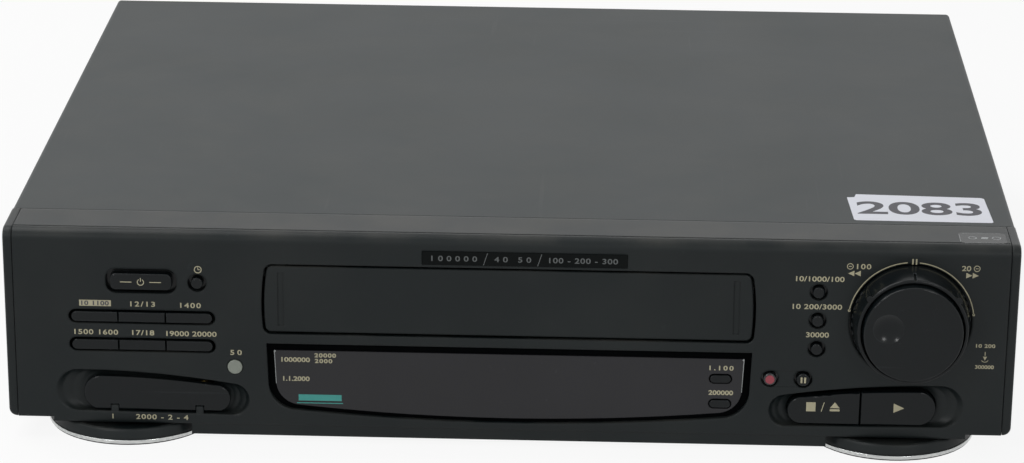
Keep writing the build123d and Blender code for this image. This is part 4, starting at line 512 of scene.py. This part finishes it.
def band(mesh, across, up, radius, width, start=0, end=360, steps=48, thick=INK):
    """Part of a ring, from start to end degrees, as quads pulled up."""
    count = steps if end - start < 360 else steps - 1
    rows = []
    for index in range(count + 1):
        angle = math.radians(start + (end - start) * index / steps)
        for away in (radius - width / 2, radius + width / 2):
            for level in (-UNDER, thick):
                spot = (across + away * math.cos(angle), up + away * math.sin(angle), level)
                rows.append(mesh.verts.new(spot))
    sections = [rows[i:i + 4] for i in range(0, len(rows), 4)]
    whole = end - start >= 360
    for index in range(len(sections) if whole else len(sections) - 1):
        a, b = sections[index], sections[(index + 1) % len(sections)]
        mesh.faces.new((a[1], a[3], b[3], b[1]))
        mesh.faces.new((a[2], a[0], b[0], b[2]))
        mesh.faces.new((a[0], a[1], b[1], b[0]))
        mesh.faces.new((a[3], a[2], b[2], b[3]))
    if not whole:
        mesh.faces.new((sections[0][0], sections[0][2], sections[0][3], sections[0][1]))
        mesh.faces.new((sections[-1][1], sections[-1][3], sections[-1][2], sections[-1][0]))


print("shapes:", block.__name__, wedge.__name__, band.__name__)

# %% [markdown]
# ## Numerals
# Blender's own font has plain figures. A text curve could stay a curve, but as a mesh it joins the other
# marks in one drawing, so it is measured, spread to the wanted width and turned into a mesh.

# %% Numerals
FIGURE_SHARE = 0.72
WIDEST = 1.3
NARROWEST = 0.75
FREE_WIDTH = 1.1


def numerals(mesh, text, across, up, height, width=None, bold=0.0, thick=INK):
    """Plain numbers round a middle point; width stretches and then spreads them."""
    curve = bpy.data.curves.new("numerals", "FONT")
    curve.body = text
    curve.align_x = "CENTER"
    curve.align_y = "CENTER"
    curve.offset = bold / height
    curve.extrude = (thick + UNDER) / height / 2
    maker = bpy.data.objects.new("numerals", curve)
    bpy.context.scene.collection.objects.link(maker)
    wide = []
    for spacing in (1.0, 2.0):
        curve.space_character = spacing
        bpy.context.view_layer.update()
        wide.append(maker.dimensions.x)
    scale = height / FIGURE_SHARE
    if width is None:
        wider = FREE_WIDTH
    else:
        wider = max(NARROWEST, min(WIDEST, width / (scale * wide[0])))
    curve.space_character = 1.0
    if width is not None and len(text) > 1:
        curve.space_character = 1 + (width / scale / wider - wide[0]) / (wide[1] - wide[0])
    bpy.context.view_layer.update()
    shown = maker.evaluated_get(bpy.context.evaluated_depsgraph_get())
    flat = bpy.data.meshes.new_from_object(shown)
    corners = [vertex.co for vertex in flat.vertices]
    middle = (Vector(map(min, zip(*corners))) + Vector(map(max, zip(*corners)))) / 2
    sized = Matrix.Diagonal((scale * wider, scale, scale, 1)) @ Matrix.Translation(-middle)
    flat.transform(Matrix.Translation((across, up, (thick - UNDER) / 2)) @ sized)
    mesh.from_mesh(flat)
    bpy.data.objects.remove(maker)
    bpy.data.meshes.remove(flat)


print("numerals are", FIGURE_SHARE, "of the font's height")

# %% [markdown]
# ## From a drawing to a piece
# Each drawing is laid in its place, cleaned, given its finish and told which body it rides on.

# %% Laying a drawing
pieces_made = []


def lay(name, mesh, place, finish, body):
    """The drawing becomes a piece that rides on a body of the machine."""
    mesh.transform(place)
    bmesh.ops.remove_doubles(mesh, verts=mesh.verts, dist=1e-8)
    bmesh.ops.recalc_face_normals(mesh, faces=mesh.faces)
    data = bpy.data.meshes.new(name)
    mesh.to_mesh(data)
    mesh.free()
    piece = bpy.data.objects.new(name, data)
    bpy.context.scene.collection.objects.link(piece)
    data.materials.append(finishes[finish])
    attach(piece, body)
    pieces_made.append(name)


print("pieces so far:", len(pieces_made))

# %% [markdown]
# ## Cream marks on the panel
# Each key has its mark above it, printed in cream. Plain numbers serve here, each as wide as its key asks,
# and a small clock marks the timer. One list of places and widths keeps them easy to move.

# %% Panel numbers
FACE = -166.35
MARK_HEIGHT = 2.1
SMALL_MARK_HEIGHT = 1.5
SMALL_FROM = 185
marks = bmesh.new()
for text, across, up, width in (
    ("12/13", -145.1, 57.6, 9.8), ("1400", -126.1, 57.4, 8.2), ("1500 1600", -163.9, 45.5, 17.4),
    ("17/18", -145.2, 45.5, 8.8), ("19000 20000", -126.0, 45.4, 20.0), ("1", -158.3, 9.6, None),
    ("2000 - 2 - 4", -138.5, 9.6, 21.0), ("10/1000/100", 121.9, 73.6, 19.0),
    ("10 200/3000", 121.2, 62.0, 19.4), ("30000", 121.7, 50.2, 9.0), ("50", -108.4, 37.9, 4.6),
    ("100", 138.8, 79.1, 5.6), ("20", 178.8, 79.1, 3.6), ("10 200", 188.0, 46.9, 7.6),
    ("300000", 188.0, 38.0, 7.4),
):
    high = MARK_HEIGHT if across < SMALL_FROM else SMALL_MARK_HEIGHT
    numerals(marks, text, across, up, high, width, bold=0.035)
print("corners in the numbers:", len(marks.verts))

# %% Clock, winding arrows, pause bars and a downward arrow
band(marks, -122.9, 72.5, 1.35, 0.36)
block(marks, -122.9, 72.95, 0.3, 1.0)
block(marks, -122.55, 72.5, 0.9, 0.3)
for across in (133.4, 182.9):
    band(marks, across, 79.1, 1.15, 0.28)
    block(marks, across, 79.1, 1.1, 0.3)
for across, turn in ((133.9, 180), (136.4, 180), (180.0, 0), (182.5, 0)):
    wedge(marks, across, 76.2, 2.4, 2.3, turn)
for across in (157.75, 159.15):
    block(marks, across, 81.5, 0.62, 2.3)
block(marks, 188.0, 43.6, 0.3, 1.6)
wedge(marks, 188.0, 41.6, 1.6, 1.6, 270)
band(marks, 188.0, 41.6, 1.5, 0.25, 210, 330)
lay("panel_marks", marks, facing_front(FACE), "cream_ink", "case")
print("panel marks laid at", FACE)

# %% [markdown]
# ## The filled box and the arc
# The first key of the upper row has a filled cream box with a dark number on it. A fine arc with a dot at
# each end runs round the shuttle ring, open at the top for the pause bars.

# %% Box and arc
DIAL = (158.1, 56.4)
ARC_RADIUS = 24.75
ARC_WIDTH = 0.42
ARC_RIGHT = 8
ARC_LEFT = 170
box_mark = bmesh.new()
block(box_mark, -164.0, 57.7, 12.6, 2.5)
lay("key_box_mark", box_mark, facing_front(FACE), "cream_ink", "case")
box_number = bmesh.new()
numerals(box_number, "10 1100", -164.0, 57.7, 1.8, 11.0, bold=0.06, thick=0.09)
lay("key_box_number", box_number, facing_front(FACE), "dark_ink", "case")
arc = bmesh.new()
for start, end in ((ARC_RIGHT, 84.5), (95.5, ARC_LEFT)):
    band(arc, DIAL[0], DIAL[1], ARC_RADIUS, ARC_WIDTH, start, end, 40)
for angle in (ARC_RIGHT, ARC_LEFT):
    turn = math.radians(angle)
    across = DIAL[0] + ARC_RADIUS * math.cos(turn)
    up = DIAL[1] + ARC_RADIUS * math.sin(turn)
    band(arc, across, up, 0.3, 0.5, 0, 360, 12)
lay("shuttle_arc", arc, facing_front(FACE), "cream_ink", "case")
print("arc round", DIAL)

# %% [markdown]
# ## Symbols on the keys
# Stop, eject, play, pause and power are the common symbols of the trade. They ride on the keys, so they
# move in with them.

# %% Stop, eject and play
KEY_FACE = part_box("play_key")[0].y / MM
symbols = bmesh.new()
block(symbols, 120.3, 19.5, 3.7, 3.9)
block(symbols, 125.0, 19.5, 0.35, 3.9, slant=0.55)
block(symbols, 129.8, 18.2, 3.9, 0.9)
wedge(symbols, 129.8, 20.35, 2.5, 3.9, 90)
lay("stop_eject_symbols", symbols, facing_front(KEY_FACE), "cream_ink", "stop_eject_key")
play = bmesh.new()
wedge(play, 155.2, 19.6, 4.2, 4.0)
lay("play_symbol", play, facing_front(KEY_FACE), "cream_ink", "play_key")
print("key faces at", round(KEY_FACE, 2))

# %% Pause and power
pause = bmesh.new()
for across in (116.1, 117.5):
    block(pause, across, 31.2, 0.75, 2.4)
PAUSE_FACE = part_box("pause_button")[0].y / MM
lay("pause_symbol", pause, facing_front(PAUSE_FACE), "cream_ink", "pause_button")
POWER = (-145.55, 67.2)
POWER_LINE = 0.34
power = bmesh.new()
band(power, *POWER, 1.25, POWER_LINE, -240, 60, 32)
block(power, POWER[0], POWER[1] + 1.0, POWER_LINE, 1.6)
for across in (-151.4, -139.7):
    block(power, across, POWER[1], 4.6, POWER_LINE)
POWER_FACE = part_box("power_button")[0].y / MM
lay("power_symbol", power, facing_front(POWER_FACE), "cream_ink", "power_button")
print("pause face at", round(PAUSE_FACE, 2), "and power face at", round(POWER_FACE, 2))

# %% [markdown]
# ## The window and the badge strip
# The window has small numbers near its ends and one teal bar with a line under it. The black badge strip
# has three faded numbers parted by two slanted strokes.

# %% Window marks
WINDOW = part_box("display_window")[0].y / MM
inside = bmesh.new()
for text, across, up, height, width in (
    ("1000000", -84.8, 34.9, 1.9, 11.4), ("20000", -73.0, 36.9, 1.7, 8.6), ("2000", -73.7, 34.5, 1.7, 7.0),
    ("1.1.2000", -84.6, 26.8, 1.9, 10.6), ("1.100", 84.4, 34.9, 1.9, 9.6), ("200000", 84.4, 24.4, 1.9, 9.8),
):
    numerals(inside, text, across, up, height, width, bold=0.05)
lay("window_marks", inside, facing_front(WINDOW), "cream_ink", "case")
teal = bmesh.new()
block(teal, -75.2, 18.8, 17.2, 2.6)
block(teal, -75.2, 16.5, 18.4, 0.35)
lay("window_teal_bar", teal, facing_front(WINDOW), "teal_ink", "case")
print("window face at", round(WINDOW, 2))

# %% Badge strip marks
BADGE_MIDDLE = 79.2
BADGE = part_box("badge_strip")[0].y / MM
strokes = bmesh.new()
for across in (-9.5, 11.8):
    block(strokes, across, BADGE_MIDDLE, 0.3, 5.0, slant=0.8)
for text, across, width in (("100000", -21.8, 18.0), ("40 50", 1.2, 14.5), ("100 - 200 - 300", 29.0, 27.0)):
    numerals(strokes, text, across, BADGE_MIDDLE, 2.2, width, bold=0.03)
lay("badge_strokes", strokes, facing_front(BADGE), "faded_ink", "case")
print("badge face at", round(BADGE, 2))

# %% [markdown]
# ## Painted shade round the window
# The window sits back in its recess on a flange, and seems to float in a black frame that is thickest at the
# top: the shade inside the recess. Here a near-black matt sheet on the flange paints that shade. It is a flat
# ring between two outlines: a straight head, leaning sides, round lower corners and a sagging foot.


# %% Points on an arc
def arc_points(first, middle, last, count):
    """Points on the circle through three points, from the first to the last one."""
    (ax, ay), (bx, by), (cx, cy) = first, middle, last
    d = 2 * (ax * (by - cy) + bx * (cy - ay) + cx * (ay - by))
    squares = [x * x + y * y for x, y in (first, middle, last)]
    ux = (squares[0] * (by - cy) + squares[1] * (cy - ay) + squares[2] * (ay - by)) / d
    uy = (squares[0] * (cx - bx) + squares[1] * (ax - cx) + squares[2] * (bx - ax)) / d
    radius = math.hypot(ax - ux, ay - uy)
    begin = math.atan2(ay - uy, ax - ux)
    turn = (math.atan2(cy - uy, cx - ux) - begin + math.pi) % (2 * math.pi) - math.pi
    angles = [begin + turn * index / count for index in range(count)]
    return [(ux + radius * math.cos(angle), uy + radius * math.sin(angle)) for angle in angles]


print("an arc of 4 points:", len(arc_points((1, 0), (0, 1), (-1, 0), 4)))

# %% Outline of the window
RECESS_HALF = 96.3
RECESS_TOP = 42.0
WAIST = 25.3
FOOT = 14.0
KNEE_DROP = 7.7
SAG = 4.1
LEAN = 0.6
KNEE_IN = 3.6
CORNER_IN = 9.8


def window_line(side, head, foot):
    """Outline of the window, drawn in from its recess."""
    reach = RECESS_HALF - side
    low = FOOT + foot
    side_end = (reach - LEAN, WAIST)
    knee = (reach - KNEE_IN, WAIST - KNEE_DROP + foot / 2)
    corner = (reach - CORNER_IN, low)
    right = [(reach, RECESS_TOP - head)] + arc_points(side_end, knee, corner, 12)
    bottom = arc_points(corner, (0, low - SAG), (-corner[0], low), 30)
    left = arc_points((-corner[0], low), (-knee[0], knee[1]), (-side_end[0], WAIST), 12)
    return right + bottom + left + [(-side_end[0], WAIST), (-reach, RECESS_TOP - head)]


print("corners in the outline:", len(window_line(0, 0, 0)))

# %% Painted shade ring
FLANGE = FACE + 2.5
SHADE_SHEET_THICK = 0.3
# The ring is widest at the top, where the recess throws the most shade, and paints that shade on the flange.
shade_sheet = bmesh.new()
rings = []
for outline in (window_line(-0.05, -0.05, -0.05), window_line(2.85, 3.15, 1.45)):
    for level in (-UNDER, SHADE_SHEET_THICK):
        rings.append([shade_sheet.verts.new((across, up, level)) for across, up in outline])
for index in range(len(rings[0])):
    for near, far in ((rings[1], rings[3]), (rings[2], rings[0]), (rings[0], rings[1]), (rings[3], rings[2])):
        shade_sheet.faces.new((near[index - 1], near[index], far[index], far[index - 1]))
lay("window_painted_shade", shade_sheet, facing_front(FLANGE), "painted_shade_black", "case")
print("foam ring has", len(rings[0]), "corners on each edge")

# %% [markdown]
# ## Painted glints on the window edges
# The left and right edges of the window are polished and catch the light as two thin lines with a bright
# corner. Light grey strips a third of a millimetre wide paint these glints in their colour, and show them
# from every side.

# %% Window edge glints
glint_strips = bmesh.new()
for sign in (-1, 1):
    line = [(sign * 93.38, 38.75), (sign * 93.08, 38.75), (sign * 92.5, 24.6), (sign * 92.72, 24.6)]
    prism(glint_strips, line[::sign], 0.03)
    band(glint_strips, sign * 93.05, 38.4, 0.25, 0.3, 0, 360, 10, 0.04)
lay("window_edge_glints", glint_strips, facing_front(WINDOW), "painted_edge_glint", "case")
print("window edges laid at", round(WINDOW, 2))

# %% [markdown]
# ## The back
# The back is plated sheet with sockets in it. It gets small numbers above the sockets, lines that group
# them, a bare metal plate, and two rows of louvres that let warm air out. Each louvre is a low wedge pressed
# out of the sheet, so it is a mesh with a slanted side and not a printed line.

# %% Rear numbers and plate
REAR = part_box("rear_panel")[1].y / MM
rear = bmesh.new()
for text, across, up in (("1", 78.0, 38.5), ("2", 18.0, 38.5), ("3", -32.0, 38.5), ("4", -50.0, 38.5),
                         ("5", 168.0, 52.5), ("6", 142.0, 52.5)):
    numerals(rear, text, across, up, 3.2, None, bold=0.08)
for across, up, width in ((48.0, 44.5, 84.0), (-41.0, 44.5, 34.0), (155.0, 58.5, 42.0)):
    block(rear, across, up, width, 0.4)
lay("rear_numbers", rear, facing_back(REAR), "dark_ink", "case")
plate = bmesh.new()
block(plate, -96.0, 66.0, 52.0, 20.0, 0.0, 0.25)
lay("rear_plate", plate, facing_back(REAR), "drum_aluminium", "case")
print("back face at", round(REAR, 2))

# %% Louvres
LOUVRE_ROWS = (62.0, 74.0)
LOUVRES = 14
LOUVRE_PITCH = 8.0
louvres = bmesh.new()
for up in LOUVRE_ROWS:
    for step in range(LOUVRES):
        across = 20.0 + step * LOUVRE_PITCH
        levels = []
        for left, right, tall, level in ((-1.6, 1.6, 4.0, -UNDER), (-0.2, 1.5, 3.0, 1.1)):
            flat = ((left, -tall), (right, -tall), (right, tall), (left, tall))
            levels.append([louvres.verts.new((across + a, up + b, level)) for a, b in flat])
        low, high = levels
        louvres.faces.new(low[::-1])
        louvres.faces.new(high)
        for index in range(4):
            louvres.faces.new((low[index - 1], low[index], high[index], high[index - 1]))
lay("rear_louvres", louvres, facing_back(REAR), "zinc_steel", "case")
print("louvres:", len(LOUVRE_ROWS) * LOUVRES)

# %% [markdown]
# ## The labels on top
# A torn white paper label with large dark numbers lies on the cover, and a dark glossy one with three
# small signs on the strip behind the front. Both are thin sheets with real edges.

# %% Paper label
TOP = 88.0
paper = bmesh.new()
prism(paper, [(137.2, -136.1), (190.8, -136.6), (191.7, -135.8), (190.6, -106.4), (189.4, -105.3),
              (138.9, -103.2), (138.0, -107.0), (135.0, -107.4), (136.3, -135.2)], 0.03)
lay("paper_label", paper, facing_up(TOP), "label_paper", "case")
figures = bmesh.new()
numerals(figures, "2083", 163.2, -120.2, 15.5, 50.0, bold=0.3, thick=0.045)
lay("paper_label_number", figures, facing_up(TOP), "dark_ink", "case")
print("paper label laid on top at", TOP)

# %% Glossy label
LABEL_ROUND = 1.5
foil = bmesh.new()
corners = []
for middle_x, middle_y, start in (
    (193.3, -150.9, 0), (178.0, -150.9, 90), (178.0, -159.8, 180), (193.3, -159.8, 270),
):
    for step in range(5):
        angle = math.radians(start + step * 22.5)
        corners.append((middle_x + LABEL_ROUND * math.cos(angle), middle_y + LABEL_ROUND * math.sin(angle)))
prism(foil, corners, 0.02)
lay("strip_label", foil, facing_up(TOP), "grey_foil", "case")
signs = bmesh.new()
for across, up, width, height in (
    (185.6, -149.5, 15.0, 0.2), (185.6, -161.2, 15.0, 0.2), (176.6, -155.3, 0.2, 9.0),
):
    block(signs, across, up, width, height, 0.0, 0.03)
for across, width in ((181.6, 3.0), (191.0, 3.2)):
    band(signs, across, -155.2, width / 2, 0.4, 0, 360, 24, 0.035)
block(signs, 186.4, -155.2, 2.6, 2.2, 0.3, 0.035)
lay("strip_label_signs", signs, facing_up(TOP), "white_ink", "case")
print("corners in the glossy label:", len(corners))

# %% [markdown]
# ## The floor and the light
# The machine stands on a white table in white surroundings. The floor is lit by the lamps and keeps the
# shadow, and camera, mirror and glass rays see it white. Three soft lamps hang above and in front.

# %% Floor sheet
FLOOR_HALF = 8
floor_mesh = bpy.data.meshes.new("floor")
floor_corners = [(FLOOR_HALF * x, FLOOR_HALF * y, 0) for x, y in ((-1, -1), (1, -1), (1, 1), (-1, 1))]
floor_mesh.from_pydata(floor_corners, [], [(0, 1, 2, 3)])
floor = bpy.data.objects.new("floor", floor_mesh)
bpy.context.scene.collection.objects.link(floor)
print("floor is", 2 * FLOOR_HALF, "m wide")


# %% White where it is looked at
def seen_rays(tree):
    """1 where a camera, mirror or glass ray looks."""
    rays = tree.nodes.new("ShaderNodeLightPath").outputs
    seen = add_math(tree, "MAXIMUM", rays["Is Camera Ray"], rays["Is Glossy Ray"])
    return add_math(tree, "MAXIMUM", seen, rays["Is Transmission Ray"])


print("ray helper:", seen_rays.__name__)

# %% Floor material
FLOOR_WHITE = 0.9
floor_material = bpy.data.materials.new("floor")
floor_material.use_nodes = True
floor_tree = floor_material.node_tree
floor_shader = floor_tree.nodes["Principled BSDF"]
floor_shader.inputs["Base Color"].default_value = (0.8, 0.8, 0.8, 1)
floor_shader.inputs["Roughness"].default_value = 0.9
floor_shader.inputs["Specular IOR Level"].default_value = 0.0
glow = floor_tree.nodes.new("ShaderNodeEmission")
blend = floor_tree.nodes.new("ShaderNodeMixShader")
floor_tree.links.new(add_math(floor_tree, "MULTIPLY", seen_rays(floor_tree), FLOOR_WHITE), blend.inputs[0])
floor_tree.links.new(floor_shader.outputs[0], blend.inputs[1])
floor_tree.links.new(glow.outputs[0], blend.inputs[2])
floor_tree.links.new(blend.outputs[0], floor_tree.nodes["Material Output"].inputs["Surface"])
floor_mesh.materials.append(floor_material)
print("floor material:", floor_material.name)

# %% World
WORLD_LIGHT = 0.32
world = bpy.data.worlds.new("studio")
bpy.context.scene.world = world
world.use_nodes = True
world_tree = world.node_tree
world_tree.nodes["Background"].inputs["Color"].default_value = (1, 1, 1, 1)
world_light = add_math(world_tree, "MULTIPLY_ADD", seen_rays(world_tree), 1 - WORLD_LIGHT, WORLD_LIGHT)
world_tree.links.new(world_light, world_tree.nodes["Background"].inputs["Strength"])
print("light from all round:", WORLD_LIGHT)

# %% Lamps
AIM = Vector((0, 0, 0.05))
for name, place, size, power in (
    ("lamp above", (-0.85, 0.1, 1.55), 1.2, 17.0),
    ("lamp front left", (-0.95, -1.5, 1.0), 0.35, 6.0),
    ("lamp front right", (0.85, -1.7, 0.95), 0.35, 4.5),
):
    lamp_data = bpy.data.lights.new(name, "AREA")
    lamp_data.energy = power
    lamp_data.size = size
    lamp = bpy.data.objects.new(name, lamp_data)
    lamp.location = place
    lamp.rotation_euler = (AIM - Vector(place)).to_track_quat("-Z", "Y").to_euler()
    bpy.context.scene.collection.objects.link(lamp)
print("pieces made:", len(pieces_made))
